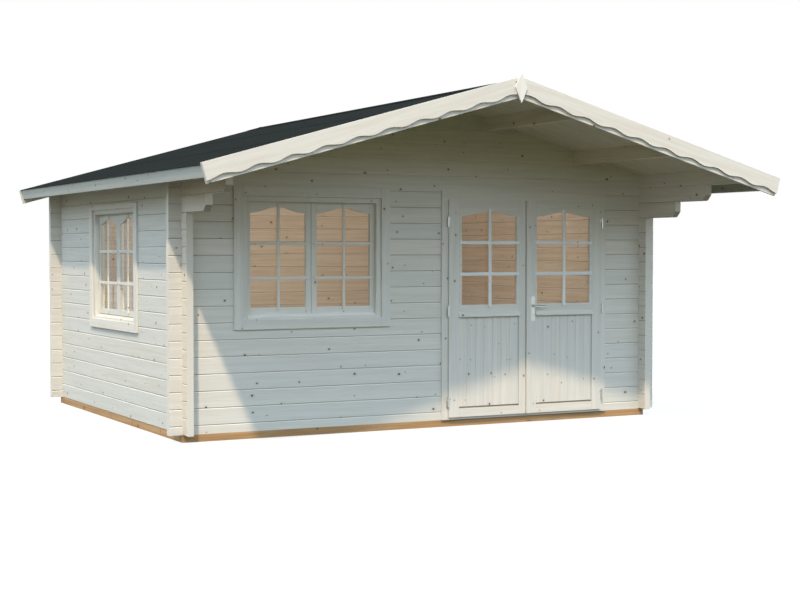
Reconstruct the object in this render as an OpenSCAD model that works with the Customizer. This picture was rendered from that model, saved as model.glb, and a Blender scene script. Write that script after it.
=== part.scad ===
// Garden cabin of crossed logs with a deep front canopy, two casement windows and a double door.
// Millimetres. X runs across the gable, Y from front to back, Z up from the underside of the foundation.

/* [Logs] */
// Height of one log course
log_h = 135; // [120:1:150]
// Thickness of a log
log_t = 58; // [44:1:70]
// Length of a log end past the crossing wall
corner_projection = 107; // [80:1:150]
// Depth of the V joint between two courses
joint_groove = 6; // [3:0.5:9]

/* [House] */
// Width over the outer faces of the side walls
house_w = 4480; // [4400:10:5200]
// Depth over the outer faces of the front and back walls
house_d = 3600; // [3000:10:4500]
// Full log courses in a side wall
side_courses = 15; // [14:1:17]
// Height of the bevelled top log at the outer face
top_log_h = 105; // [90:1:125]
// Courses below the window openings
sill_courses = 6; // [5:1:7]

/* [Foundation and floor] */
// Height of a foundation beam
foundation_h = 60; // [40:1:100]
// Width of a foundation beam
foundation_w = 70; // [58:1:120]
// Number of joists between the side beams
joist_count = 5; // [3:1:8]
// Thickness of the floor boards
floor_t = 19; // [16:1:28]
// Gap between the floor boards and the walls
floor_gap = 5; // [3:1:10]

/* [Roof] */
// Slope of the roof in degrees
roof_pitch = 15.6; // [13:0.1:20]
// Reach of the canopy in front of the front wall
front_overhang = 1433; // [1200:1:1700]
// Reach of the roof behind the back wall
back_overhang = 208; // [150:1:400]
// Reach of the eave board's outer face past the side wall
eave_overhang = 335; // [250:1:450]
// Reach of the bargeboard's tip past the eave board
tip_overhang = 21; // [10:1:60]
// Thickness of the roof boards
roof_board_t = 19; // [16:1:28]
// Gap between a sloping layer and what it lies on
seat_gap = 0.2; // [0.1:0.1:0.4]
// Thickness of the felt
felt_t = 4; // [2:0.5:6]
// Reach of the felt past the eave board
felt_drip = 8; // [4:1:15]
// Width of a purlin
purlin_w = 58; // [44:1:90]
// Depth of a purlin below the roof boards
purlin_h = 110; // [90:1:160]
// Distance of the upper purlins from the ridge
upper_purlin_x = 540; // [400:5:700]
// Distance of the lower purlins from the ridge
lower_purlin_x = 1486; // [1200:5:1700]

/* [Boards at the roof edge] */
// Width of a bargeboard
barge_w = 153; // [120:1:190]
// Thickness of a bargeboard
barge_t = 20; // [16:1:28]
// Height of the bargeboard's top over the felt
barge_rise = 15; // [8:1:24]
// Thickness of the scalloped board
scallop_t = 18; // [14:1:24]
// Scallops along one slope
scallop_count = 10; // [6:1:14]
// Half height of a scallop
scallop_amp = 11; // [6:1:14]
// Mean height of the scalloped edge over the bargeboard's lower edge
scallop_up = 31; // [20:1:45]
// Thickness of the eave board
eave_board_t = 20; // [16:1:28]
// Drop of the eave board below the roof boards
eave_board_drop = 68; // [50:1:100]
// Width of the diamond plate at the gable's peak
diamond_w = 109; // [90:1:160]
// Height of the diamond plate above its widest place
diamond_up = 111; // [80:1:140]
// Height of the diamond plate below its widest place
diamond_down = 119; // [100:1:170]
// Thickness of the diamond plate
diamond_t = 14; // [10:1:20]
// Rise of the diamond's top over the bargeboards' peak
diamond_rise = 28; // [15:1:60]

/* [Corbels] */
// Reach of the lower corbel log in front of the front wall
lower_corbel = 540; // [400:5:700]
// Reach of the upper corbel log in front of the front wall
upper_corbel = 965; // [800:5:1100]
// Chamfer under a corbel's end
corbel_chamfer = 50; // [30:1:70]

/* [Windows] */
// Place of the front window's middle from the ridge line
front_window_x = -1103; // [-1150:5:-1000]
// Width of a window over its casing
window_w = 1406; // [1250:2:1500]
// Width of a casing board
casing_w = 82; // [70:1:100]
// Width of the side window's top casing board, under the eave
side_casing_top = 41; // [40:1:100]
// Thickness of a casing board
casing_t = 20; // [16:1:28]
// Width of frame that shows inside the casing
frame_face = 40; // [25:1:55]
// Width of frame behind the casing
frame_lap = 25; // [15:1:35]
// Depth of the window frame through the wall
frame_d = 90; // [80:1:120]
// Depth of the sash behind the frame's face
sash_set = 45; // [30:1:50]
// Rebate that the sash shuts into
sash_rebate = 8; // [5:1:12]
// Thickness of a sash
sash_t = 40; // [30:1:45]
// Width of a sash stile
sash_stile = 48; // [40:1:65]
// Height of a sash's bottom rail
sash_bottom = 59; // [45:1:75]
// Least height of the sash's top rail
sash_top = 49; // [35:1:70]
// Gap round a sash
sash_gap = 2; // [1:0.5:3]
// Rise of the arched pane top in a window
window_arch = 49; // [30:1:70]
// Gap between a window frame and the log ends
window_log_gap = 3; // [1:1:6]
// Gap for settling over a frame
settle_gap = 37; // [25:1:45]
// Gap over the side window's frame, under what is left of the log there
side_settle_gap = 10; // [6:1:12]
// Slope of the window's sill from back to front
sill_fall = 22; // [10:1:30]

/* [Glass] */
// Thickness of a pane
glass_t = 4; // [3:0.5:8]
// Depth of the pane behind a sash's or leaf's face
glass_set = 18; // [12:1:22]
// Overlap of a pane behind the edge of its opening
glass_lap = 8; // [5:1:12]
// Gap round a pane
glass_gap = 2; // [1:0.5:3]

/* [Door] */
// Place of the double door's middle from the ridge line
door_x = 946; // [900:2:990]
// Width of the door frame over its flanges
door_w = 1700; // [1500:2:1800]
// Width of a frame flange
door_flange = 73; // [65:1:90]
// Height of the head's flange
head_flange = 98; // [90:1:110]
// Thickness of a frame flange
door_flange_t = 20; // [14:1:26]
// Thickness of the frame between its flanges
door_web = 50; // [40:1:60]
// Gap between the frame and the log ends
door_log_gap = 3; // [1:1:6]
// Gap for settling over the door frame
door_settle = 25; // [15:1:40]
// Height of the threshold
threshold_h = 16; // [10:1:30]
// Clearance round a moving leaf
leaf_gap = 5; // [5:0.5:8]
// Overlap of a leaf's lip on the frame
leaf_lap = 13; // [8:1:18]
// Thickness of a leaf
leaf_t = 40; // [36:1:50]
// Thickness of a leaf's lip
lip_t = 14; // [10:1:18]
// Place of the meeting line from the door's middle
meeting_x = -14; // [-20:1:0]
// Gap between the two leaves
meeting_gap = 8; // [7:0.5:12]
// Width of a leaf's stile at the hinges
leaf_stile = 101; // [90:1:120]
// Width of the left leaf's stile at the meeting line
meeting_stile = 66; // [60:1:90]
// Width of the right leaf's stile at the meeting line, under the strip and the handle
lock_stile = 104; // [100:1:130]
// Width of the bead between a stile and the pane
pane_bead = 25; // [10:1:35]
// Width of the bead beside the handle's stile
lock_bead = 8; // [4:1:30]
// Height of the bottom rail
bottom_rail = 75; // [60:1:120]
// Height of the lower panel
panel_h = 792; // [600:2:850]
// Height of the middle rail
middle_rail = 102; // [80:1:140]
// Least height of the top rail
leaf_top = 97; // [80:1:120]
// Rise of the arched pane top in a door
door_arch = 40; // [20:1:60]
// Thickness of the lower panel's boards
panel_t = 16; // [12:1:18]
// Depth of the lower panel behind the leaf's face
panel_set = 8; // [4:1:12]
// Width of the cover strip on the meeting stile
strip_w = 46; // [30:1:48]
// Thickness of the cover strip
strip_t = 12; // [8:1:16]

/* [Hinges and handle] */
// Radius of a hinge barrel
barrel_r = 8; // [6:0.5:9]
// Length of one hinge barrel
barrel_l = 44; // [30:1:60]
// Radius of a hinge pin
pin_r = 4; // [3:0.5:5]
// Radial clearance of pins and spindles
run_clear = 0.05; // [0.02:0.01:0.09]
// Gap between a barrel and the leaf's edge
barrel_gap = 1; // [0.5:0.5:3]
// Thickness of a hinge flap
flap_t = 2; // [1.5:0.5:3]
// Length of a hinge flap on the leaf
flap_l = 14; // [10:1:30]
// Height of a hinge flap on the leaf
flap_h = 16; // [10:1:30]
// Height of the lowest hinge over the leaf's bottom
low_hinge = 137; // [100:1:200]
// Depth of the highest hinge below the leaf's top
high_hinge = 190; // [120:1:260]
// Gap between the cover strip and the handle's plate
plate_gap = 2; // [1:1:8]
// Width of the handle's plate
plate_w = 42; // [36:1:44]
// Height of the handle's plate
plate_h = 224; // [180:1:260]
// Thickness of the handle's plate
plate_t = 4; // [2:0.5:6]
// Height of the plate's lower end over the leaf's bottom
plate_z = 812; // [700:1:860]
// Height of the lever's spindle over the plate's lower end
spindle_up = 134; // [110:1:150]
// Radius of the lever's neck
neck_r = 8; // [6:0.5:9]
// Room round the neck where it passes through the leaf
leaf_bore_gap = 4; // [2:0.5:6]
// Radius of the lever's grip
grip_r = 8; // [6:0.5:10]
// Length of the lever's grip
grip_l = 112; // [90:1:140]
// Distance of the grip's middle from the plate
grip_out = 42; // [30:1:55]
// Height of the keyhole over the plate's lower end
keyhole_up = 60; // [40:1:80]
// Radius of the keyhole's barrel
keyhole_r = 5; // [4:0.5:8]

/* [Hidden] */
$fn = 48;

pale_wood = "#E2DCCF";
shade_wood = "#D8D2C4";
inner_wood = "#C9A87C";
brown_wood = "#BE915F";
felt_black = "#2A2E32";
glass_tint = "#A9C0C4";
steel = "#C8CBCD";

// Places that several pieces share
half_w = house_w / 2;
front_y = (front_overhang + diamond_t - house_d - back_overhang) / 2;
fall = tan(roof_pitch);
lean = cos(roof_pitch);
eave_z = side_courses * log_h + top_log_h;
eave_x = half_w + eave_overhang;
tip_x = eave_x + tip_overhang;
barge_top = roof_board_t + felt_t + barge_rise;
roof_front = -(front_overhang - scallop_t - barge_t);
roof_back = house_d + back_overhang - barge_t;
peak_z = under(0) + barge_top / lean;
quarter = log_h / 4;
long_reach = house_w + house_d + front_overhang;

head_course = side_courses - 1;
window_h = (head_course - sill_courses) * log_h;
front_sill_z = (sill_courses + 0.5) * log_h;
side_sill_z = sill_courses * log_h;
front_head_z = (head_course + 0.5) * log_h;
side_window_y = house_d / 2;

frame_bar = frame_face + frame_lap;
frame_half = window_w / 2 - casing_w + frame_lap;
sight_half = frame_half - frame_bar;
window_cut = frame_half + window_log_gap;
frame_top = window_h - settle_gap;
sash_half = sight_half + sash_rebate - sash_gap;
sash_low = frame_bar - sash_rebate + sash_gap;
sash_high = frame_top - frame_bar + sash_rebate - sash_gap;

jamb_half = door_w / 2 - door_flange;
door_cut = jamb_half + door_web + door_log_gap;
head_z = front_head_z - door_settle - door_web;
head_top = head_z + head_flange;
leaf_low = threshold_h + leaf_gap;
leaf_high = head_z + leaf_lap;
leaf_face = -door_flange_t - leaf_gap - lip_t;
leaf_back = leaf_face + leaf_t;
leaf_out = jamb_half + leaf_lap;
leaf_in = jamb_half - leaf_gap;
pane_low = leaf_low + bottom_rail + panel_h + middle_rail;
pane_peak = leaf_high - leaf_top;
pane_side = pane_peak - door_arch;
hinge_x = leaf_out + barrel_gap + barrel_r;
hinge_y = leaf_face - flap_t - pin_r;
hinge_z = [leaf_low + low_hinge, pane_low - middle_rail / 2, leaf_high - high_hinge];
left_meet = meeting_x - meeting_gap / 2;
right_meet = meeting_x + meeting_gap / 2;
plate_x = right_meet + strip_w + plate_gap + plate_w / 2;
spindle_z = leaf_low + plate_z + spindle_up;

// Height of the roof boards' underside at a distance from the ridge
function under(x) = eave_z + (half_w - x) * fall;

// Whether a height, counted in courses, is a joint of a wall whose joints start at phase
function is_joint(course, phase) = abs(course - phase - round(course - phase)) < 0.001;

// One face of a log wall from low to high, as inset and height, with a V at each joint
function log_face(low, high, phase) = concat(
    is_joint(low, phase)
        ? [[joint_groove, low * log_h], [0, low * log_h + joint_groove]]
        : [[0, low * log_h]],
    [for (k = [ceil(low - phase + 0.001) : 1 : floor(high - phase - 0.001)])
        each [[0, (k + phase) * log_h - joint_groove], [joint_groove, (k + phase) * log_h],
              [0, (k + phase) * log_h + joint_groove]]],
    is_joint(high, phase)
        ? [[0, high * log_h - joint_groove], [joint_groove, high * log_h]]
        : [[0, high * log_h]]
);

// Section of a log wall with both faces grooved
function log_section(low, high, phase) = let (face = log_face(low, high, phase)) concat(
    face,
    [for (i = [len(face) - 1 : -1 : 0]) [log_t - face[i][0], face[i][1]]]
);

// Upper edge of an arched pane from right to left, an ogee that rises to the middle
function arch_edge(x0, x1, z_side, rise) = [for (i = [16 : -1 : 0])
    [x0 + (x1 - x0) * i / 16, z_side + rise * (1 - cos(360 * i / 16)) / 2]];

// Frame of the house: front wall's outer face at Y 0, underside of the lowest log at Z 0
module house() { translate([0, front_y, foundation_h]) children(); }

// Stands an outline drawn in X and Z up between two Y places
module upright(y0, y1) { translate([0, y1, 0]) rotate([90, 0, 0]) linear_extrude(y1 - y0) children(); }

// Box between two corners
module block(a, b) { translate(a) cube(b - a); }

// Log wall along X with its outer or inner face at Y y0
module logs_x(x0, x1, y0, low, high) {
    translate([x0, y0, 0]) rotate([90, 0, 90]) linear_extrude(x1 - x0) polygon(log_section(low, high, 0.5));
}

// Log wall along Y with its outer or inner face at X x0
module logs_y(y0, y1, x0, low, high) {
    translate([x0, 0, 0]) upright(y0, y1) polygon(log_section(low, high, 0));
}

// Space under the roof boards
module under_roof() {
    upright(-long_reach, long_reach) polygon([
        [-long_reach, -foundation_h], [long_reach, -foundation_h],
        [long_reach, under(long_reach)], [0, under(0)], [-long_reach, under(long_reach)]
    ]);
}

// Part of each crossing that the side walls' logs fill
module side_tongues(y0) {
    for (x0 = [-half_w, half_w - log_t], k = [0 : side_courses])
        block([x0, y0 - 1, k * log_h + quarter], [x0 + log_t, y0 + log_t + 1, k * log_h + 3 * quarter]);
}

// Part of each crossing that the front and back walls' logs fill
module end_tongues(x0) {
    for (y0 = [0, house_d - log_t], k = [0 : side_courses + 1])
        block([x0 - 1, y0, k * log_h - quarter], [x0 + log_t + 1, y0 + log_t, k * log_h + quarter]);
}

// Foundation beams
module foundation_front() {
    color(brown_wood) house() block([-half_w, 0, -foundation_h], [half_w, foundation_w, 0]);
}

module foundation_back() {
    color(brown_wood) house() block([-half_w, house_d - foundation_w, -foundation_h], [half_w, house_d, 0]);
}

module side_beam(x0) {
    color(brown_wood) house()
        block([x0, foundation_w, -foundation_h], [x0 + foundation_w, house_d - foundation_w, 0]);
}

module foundation_left() { side_beam(-half_w); }

module foundation_right() { side_beam(half_w - foundation_w); }

// Joists stand between the front and back beams
module floor_joists() {
    color(brown_wood) house() for (i = [1 : joist_count]) {
        x = -half_w + foundation_w / 2 + i * (house_w - foundation_w) / (joist_count + 1);
        block([x - foundation_w / 2, foundation_w, -foundation_h],
              [x + foundation_w / 2, house_d - foundation_w, 0]);
    }
}

module floor_boards() {
    edge = log_t + floor_gap;
    inner_door = log_t + door_flange_t + floor_gap;
    door_side = door_w / 2 + floor_gap;
    color(inner_wood) house() difference() {
        block([-half_w + edge, edge, 0], [half_w - edge, house_d - edge, floor_t]);
        block([door_x - door_side, 0, -1], [door_x + door_side, inner_door, floor_t + 1]);
    }
}

// Front wall, split beside and over its openings
module front_logs(x0, x1, low, high) {
    color(pale_wood) house() difference() {
        logs_x(x0, x1, 0, low, high);
        side_tongues(0);
    }
}

front_end = half_w + corner_projection;

module front_wall_low() { front_logs(-front_end, door_x - door_cut, 0, sill_courses + 0.5); }

module front_wall_left_pier() {
    front_logs(-front_end, front_window_x - window_cut, sill_courses + 0.5, head_course + 0.5);
}

module front_wall_middle_pier() {
    front_logs(front_window_x + window_cut, door_x - door_cut, sill_courses + 0.5, head_course + 0.5);
}

module front_wall_right_pier() { front_logs(door_x + door_cut, front_end, 0, head_course + 0.5); }

// Courses that reach over the ridge, so that a gable is cut from them by the roof
gable_courses = ceil(under(0) / log_h) + 0.5;

module gable_logs(y0, low) {
    color(pale_wood) house() difference() {
        intersection() {
            logs_x(-front_end, front_end, y0, low, gable_courses);
            under_roof();
        }
        side_tongues(y0);
        purlin_bars(purlin_h);
    }
}

module front_gable() { gable_logs(0, head_course + 0.5); }

module back_wall() { gable_logs(house_d - log_t, 0); }

// Side walls
module side_logs(x0, y0, y1, low, high) {
    difference() {
        logs_y(y0, y1, x0, low, high);
        end_tongues(x0);
    }
}

// End of a corbel log, chamfered below
module corbel_log(x0, reach, course) {
    difference() {
        logs_y(-reach, -corner_projection, x0, course, course + 1);
        translate([x0 - 1, 0, 0]) rotate([90, 0, 90]) linear_extrude(log_t + 2) polygon([
            [-reach - 1, course * log_h - 1], [-reach + corbel_chamfer, course * log_h - 1],
            [-reach + corbel_chamfer, course * log_h], [-reach, course * log_h + corbel_chamfer],
            [-reach - 1, course * log_h + corbel_chamfer]
        ]);
    }
}

// Upper corbel course and the bevelled top log, which runs from bargeboard to bargeboard
module side_top(x0) {
    side_logs(x0, -corner_projection, house_d + corner_projection, head_course, side_courses);
    corbel_log(x0, upper_corbel, head_course);
    intersection() {
        side_logs(x0, roof_front, roof_back, side_courses, side_courses + 1);
        under_roof();
    }
}

module left_wall_low() {
    color(pale_wood) house()
        side_logs(-half_w, -corner_projection, house_d + corner_projection, 0, sill_courses);
}

module left_wall_front_pier() {
    color(pale_wood) house() {
        side_logs(-half_w, -corner_projection, side_window_y - window_cut, sill_courses, head_course);
        corbel_log(-half_w, lower_corbel, head_course - 1);
    }
}

module left_wall_rear_pier() {
    y0 = side_window_y + window_cut;
    color(pale_wood) house()
        side_logs(-half_w, y0, house_d + corner_projection, sill_courses, head_course);
}

// The log over the side window is cut from below and keeps a strip at its top
module left_wall_top() {
    y0 = side_window_y - window_cut + seat_gap;
    y1 = side_window_y + window_cut - seat_gap;
    strip_z = side_sill_z + frame_top + side_settle_gap;
    color(pale_wood) house() {
        side_top(-half_w);
        intersection() {
            side_logs(-half_w, y0, y1, head_course - 1, head_course + 1);
            block([-half_w - 1, y0, strip_z], [-half_w + log_t + 1, y1, head_course * log_h + quarter]);
        }
    }
}

module right_wall() {
    x0 = half_w - log_t;
    color(pale_wood) house() {
        side_logs(x0, -corner_projection, house_d + corner_projection, 0, head_course);
        corbel_log(x0, lower_corbel, head_course - 1);
        side_top(x0);
    }
}

// Bars from front to back with their tops bevelled to the roof, or higher by the value over
module purlin_bars(over) {
    for (side = [-1, 1], x = [upper_purlin_x, lower_purlin_x]) {
        x0 = x - purlin_w / 2;
        x1 = x + purlin_w / 2;
        upright(roof_front, roof_back) polygon([
            [side * x0, under(x) - purlin_h], [side * x1, under(x) - purlin_h],
            [side * x1, under(x1) + over], [side * x0, under(x0) + over]
        ]);
    }
}

// Purlins lie in open notches of both gables
module purlins() { color(shade_wood) house() purlin_bars(0); }

// Plate along one slope, between two heights square to the roof boards' underside, cut plumb at both ends
module slope_plate(side, low, high, x1, y0, y1) {
    upright(y0, y1) polygon([
        [0, under(0) + low / lean], [side * x1, under(x1) + low / lean],
        [side * x1, under(x1) + high / lean], [0, under(0) + high / lean]
    ]);
}

module roof_boards(side) {
    color(shade_wood) house()
        slope_plate(side, seat_gap, roof_board_t, eave_x - eave_board_t, roof_front, roof_back);
}

module roof_boards_left() { roof_boards(-1); }

module roof_boards_right() { roof_boards(1); }

module roof_felt(side) {
    low = roof_board_t + seat_gap;
    color(felt_black) house()
        slope_plate(side, low, roof_board_t + felt_t, eave_x + felt_drip, roof_front, roof_back);
}

module roof_felt_left() { roof_felt(-1); }

module roof_felt_right() { roof_felt(1); }

module eave_boards() {
    x0 = eave_x - eave_board_t;
    low = under(eave_x) - eave_board_drop;
    color(pale_wood) house() for (side = [-1, 1])
        upright(roof_front, roof_back) polygon([
            [side * x0, low], [side * eave_x, low],
            [side * eave_x, under(eave_x) + roof_board_t / lean],
            [side * x0, under(x0) + roof_board_t / lean]
        ]);
}

// Bargeboards, cut plumb at the peak and square at the tip
module bargeboard(side, y0) {
    top_z = under(tip_x) + barge_top / lean;
    color(pale_wood) house() upright(y0, y0 + barge_t) polygon([
        [0, peak_z], [side * tip_x, top_z],
        [side * (tip_x - barge_w * sin(roof_pitch)), top_z - barge_w * lean],
        [0, peak_z - barge_w / lean]
    ]);
}

module front_bargeboard_left() { bargeboard(-1, roof_front - barge_t); }

module front_bargeboard_right() { bargeboard(1, roof_front - barge_t); }

module back_bargeboard_left() { bargeboard(-1, roof_back); }

module back_bargeboard_right() { bargeboard(1, roof_back); }

// Board in front of a bargeboard with a waved lower edge
module scallop_board(side) {
    slope_l = tip_x / lean;
    steps = scallop_count * 8;
    function edge(i) = let (
        s = slope_l * i / steps,
        d = barge_w - scallop_up + scallop_amp * cos(360 * scallop_count * i / steps)
    ) [side * (s * lean - d * sin(roof_pitch)), peak_z - s * sin(roof_pitch) - d * lean];
    low_peak = peak_z - (barge_w - scallop_up + scallop_amp) / lean;
    color(pale_wood) house() upright(-front_overhang, -front_overhang + scallop_t) polygon(concat(
        [[0, low_peak], [0, peak_z], [side * tip_x, under(tip_x) + barge_top / lean]],
        [for (i = [steps : -1 : 2]) edge(i)]
    ));
}

module front_scallop_left() { scallop_board(-1); }

module front_scallop_right() { scallop_board(1); }

module gable_diamond() {
    top_z = peak_z + diamond_rise;
    color(pale_wood) house() upright(-front_overhang - diamond_t, -front_overhang) polygon([
        [0, top_z], [diamond_w / 2, top_z - diamond_up],
        [0, top_z - diamond_up - diamond_down], [-diamond_w / 2, top_z - diamond_up]
    ]);
}

// Window unit in its own frame: middle at X 0, wall's outer face at Y 0, foot of the opening at Z 0
module window_casing(top) {
    half = window_w / 2;
    low = frame_lap - casing_w;
    high = frame_top - frame_lap + top;
    difference() {
        block([-half, -casing_t, low], [half, 0, high]);
        block([casing_w - half, -casing_t - 1, frame_lap], [half - casing_w, 1, frame_top - frame_lap]);
    }
}

module window_frame() {
    difference() {
        block([-frame_half, 0, 0], [frame_half, frame_d, frame_top]);
        block([-sight_half, -1, frame_bar], [sight_half, frame_d + 1, frame_top - frame_bar]);
        block([-sight_half - sash_rebate, sash_set, frame_bar - sash_rebate],
              [sight_half + sash_rebate, frame_d + 1, frame_top - frame_bar + sash_rebate]);
        translate([-sight_half, 0, 0]) rotate([90, 0, 90]) linear_extrude(2 * sight_half) polygon([
            [-1, frame_bar - sill_fall], [0, frame_bar - sill_fall], [sash_set, frame_bar], [-1, frame_bar]
        ]);
    }
}

// Frame with an arched opening, and a square rebate behind it for the pane
module arched_frame(x0, x1, z0, z_side, rise, face, back) {
    rebate = glass_lap + glass_gap;
    upright(face - 1, back + 1) polygon(concat([[x0, z0], [x1, z0]], arch_edge(x0, x1, z_side, rise)));
    block([x0 - rebate, face + glass_set, z0 - rebate], [x1 + rebate, back + 1, z_side + rise + rebate]);
}

// Pane that lies against the back of an arched opening
module pane(x0, x1, z0, z_peak, face) {
    block([x0 - glass_lap, face + glass_set, z0 - glass_lap],
          [x1 + glass_lap, face + glass_set + glass_t, z_peak + glass_lap]);
}

sash_pane = [sash_gap + sash_stile, sash_half - sash_stile];
sash_pane_low = sash_low + sash_bottom;
sash_pane_side = sash_high - sash_top - window_arch;

module window_sashes() {
    for (side = [-1, 1]) scale([side, 1, 1]) difference() {
        block([sash_gap, sash_set, sash_low], [sash_half, sash_set + sash_t, sash_high]);
        arched_frame(sash_pane[0], sash_pane[1], sash_pane_low, sash_pane_side, window_arch,
                     sash_set, sash_set + sash_t);
    }
}

module window_glass() {
    for (side = [-1, 1]) scale([side, 1, 1])
        pane(sash_pane[0], sash_pane[1], sash_pane_low, sash_pane_side + window_arch, sash_set);
}

// Places of the two window units
module at_front_window() { house() translate([front_window_x, 0, front_sill_z]) children(); }

module at_left_window() {
    house() translate([-half_w, side_window_y, side_sill_z]) rotate([0, 0, -90]) children();
}

module front_window_casing() { color(pale_wood) at_front_window() window_casing(casing_w); }

module front_window_frame() { color(pale_wood) at_front_window() window_frame(); }

module front_window_sashes() { color(pale_wood) at_front_window() window_sashes(); }

module front_window_glass() { color(glass_tint, 0.4) at_front_window() window_glass(); }

module left_window_casing() { color(pale_wood) at_left_window() window_casing(side_casing_top); }

module left_window_frame() { color(pale_wood) at_left_window() window_frame(); }

module left_window_sashes() { color(pale_wood) at_left_window() window_sashes(); }

module left_window_glass() { color(glass_tint, 0.4) at_left_window() window_glass(); }

// Door frame: flanges inside and outside grip the log ends
module at_door() { house() translate([door_x, 0, 0]) children(); }

module door_jambs() {
    outer = door_w / 2;
    color(pale_wood) at_door() for (side = [-1, 1]) linear_extrude(head_z) polygon([
        [side * jamb_half, -door_flange_t], [side * outer, -door_flange_t], [side * outer, 0],
        [side * (jamb_half + door_web), 0], [side * (jamb_half + door_web), log_t],
        [side * outer, log_t], [side * outer, log_t + door_flange_t],
        [side * jamb_half, log_t + door_flange_t]
    ]);
}

module door_head() {
    outer = door_w / 2;
    web_half = jamb_half + door_web;
    color(pale_wood) at_door() {
        for (y0 = [-door_flange_t, log_t])
            block([-outer, y0, head_z], [outer, y0 + door_flange_t, head_top]);
        block([-web_half, 0, head_z], [web_half, log_t, head_z + door_web]);
    }
}

module door_threshold() {
    color(shade_wood) at_door()
        block([-jamb_half, -door_flange_t, 0], [jamb_half, log_t + door_flange_t, threshold_h]);
}

// Rail and stile frame of one leaf between its hinge side and its meeting side, drawn for the right leaf
module leaf_frame(meet, stile, bead) {
    panel_x0 = meet + stile;
    panel_x1 = leaf_out - leaf_stile;
    rebate = glass_lap + glass_gap;
    panel_z0 = leaf_low + bottom_rail;
    difference() {
        union() {
            block([meet, leaf_face, leaf_low], [leaf_out, leaf_face + lip_t, leaf_high]);
            block([meet, leaf_face + lip_t, leaf_low], [leaf_in, leaf_back, head_z - leaf_gap]);
        }
        arched_frame(panel_x0 + bead, panel_x1 - pane_bead, pane_low, pane_side, door_arch,
                     leaf_face, leaf_back);
        block([panel_x0, leaf_face - 1, panel_z0], [panel_x1, leaf_back + 1, panel_z0 + panel_h]);
        block([panel_x0 - rebate, leaf_face + panel_set, panel_z0 - rebate],
              [panel_x1 + rebate, leaf_back + 1, panel_z0 + panel_h + rebate]);
    }
}

// Boarded panel of one leaf, seated in its rebate
module leaf_panel(meet, stile) {
    panel_z0 = leaf_low + bottom_rail;
    panel_x1 = leaf_out - leaf_stile;
    face = leaf_face + panel_set;
    block([meet + stile - glass_lap, face, panel_z0 - glass_lap],
          [panel_x1 + glass_lap, face + panel_t, panel_z0 + panel_h + glass_lap]);
}

// Pane of one leaf
module leaf_pane(meet, stile, bead) {
    pane(meet + stile + bead, leaf_out - leaf_stile - pane_bead, pane_low, pane_peak, leaf_face);
}

module mirrored() { scale([-1, 1, 1]) children(); }

module left_door_leaf() {
    color(pale_wood) at_door() mirrored() leaf_frame(-left_meet, meeting_stile, pane_bead);
}

module left_door_panel() { color(pale_wood) at_door() mirrored() leaf_panel(-left_meet, meeting_stile); }

module left_door_glass() {
    color(glass_tint, 0.4) at_door() mirrored() leaf_pane(-left_meet, meeting_stile, pane_bead);
}

module right_door_leaf() {
    color(pale_wood) at_door() difference() {
        leaf_frame(right_meet, lock_stile, lock_bead);
        translate([plate_x, leaf_back + 1, spindle_z]) rotate([90, 0, 0])
            cylinder(r = neck_r + leaf_bore_gap, h = leaf_t + 2);
    }
}

module right_door_panel() { color(pale_wood) at_door() leaf_panel(right_meet, lock_stile); }

module right_door_glass() {
    color(glass_tint, 0.4) at_door() leaf_pane(right_meet, lock_stile, lock_bead);
}

module door_cover_strip() {
    color(pale_wood) at_door()
        block([right_meet, leaf_face - strip_t, leaf_low], [right_meet + strip_w, leaf_face, leaf_high]);
}

// Lower half of a hinge: barrel and pin on a strap that is fixed to the frame's flange
module hinge_pin(side, z) {
    translate([side * hinge_x, hinge_y, z - barrel_l]) {
        cylinder(r = barrel_r, h = barrel_l);
        cylinder(r = pin_r, h = 2 * barrel_l - flap_t);
    }
    scale([side, 1, 1]) block([hinge_x, hinge_y, z - barrel_l], [hinge_x + barrel_r, -door_flange_t, z]);
}

module door_hinge_pins() {
    color(steel) at_door() for (side = [-1, 1], z = hinge_z) hinge_pin(side, z);
}

// Upper half of a hinge: bored barrel and a flap on the leaf's face
module hinge_knuckle(side, z) {
    translate([0, 0, z]) difference() {
        union() {
            translate([side * hinge_x, hinge_y, 0]) cylinder(r = barrel_r, h = barrel_l);
            scale([side, 1, 1])
                block([leaf_out - flap_l, leaf_face - flap_t, (barrel_l - flap_h) / 2],
                      [hinge_x, leaf_face, (barrel_l + flap_h) / 2]);
        }
        translate([side * hinge_x, hinge_y, -1]) cylinder(r = pin_r + run_clear, h = 2 * barrel_l);
    }
}

module left_door_knuckles() { color(steel) at_door() for (z = hinge_z) hinge_knuckle(-1, z); }

module right_door_knuckles() { color(steel) at_door() for (z = hinge_z) hinge_knuckle(1, z); }

// Outline of a handle's plate with rounded corners, foot at the origin
module plate_outline() {
    corner = plate_w / 4;
    translate([-plate_w / 2, corner]) square([plate_w, plate_h - 2 * corner]);
    translate([-corner, 0]) square([2 * corner, plate_h]);
    for (x = [-corner, corner], z = [corner, plate_h - corner]) translate([x, z]) circle(r = corner);
}

// Plates on both faces of the right leaf, bored for the lever's neck and holed for the key
module door_handle_plates() {
    color(steel) at_door() for (y0 = [leaf_face - plate_t, leaf_back])
        translate([plate_x, y0 + plate_t, leaf_low + plate_z]) rotate([90, 0, 0]) difference() {
            linear_extrude(plate_t) plate_outline();
            translate([0, spindle_up, -1]) cylinder(r = neck_r + run_clear, h = plate_t + 2);
            translate([0, keyhole_up, -1]) cylinder(r = keyhole_r, h = plate_t + 2);
        }
}

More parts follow.
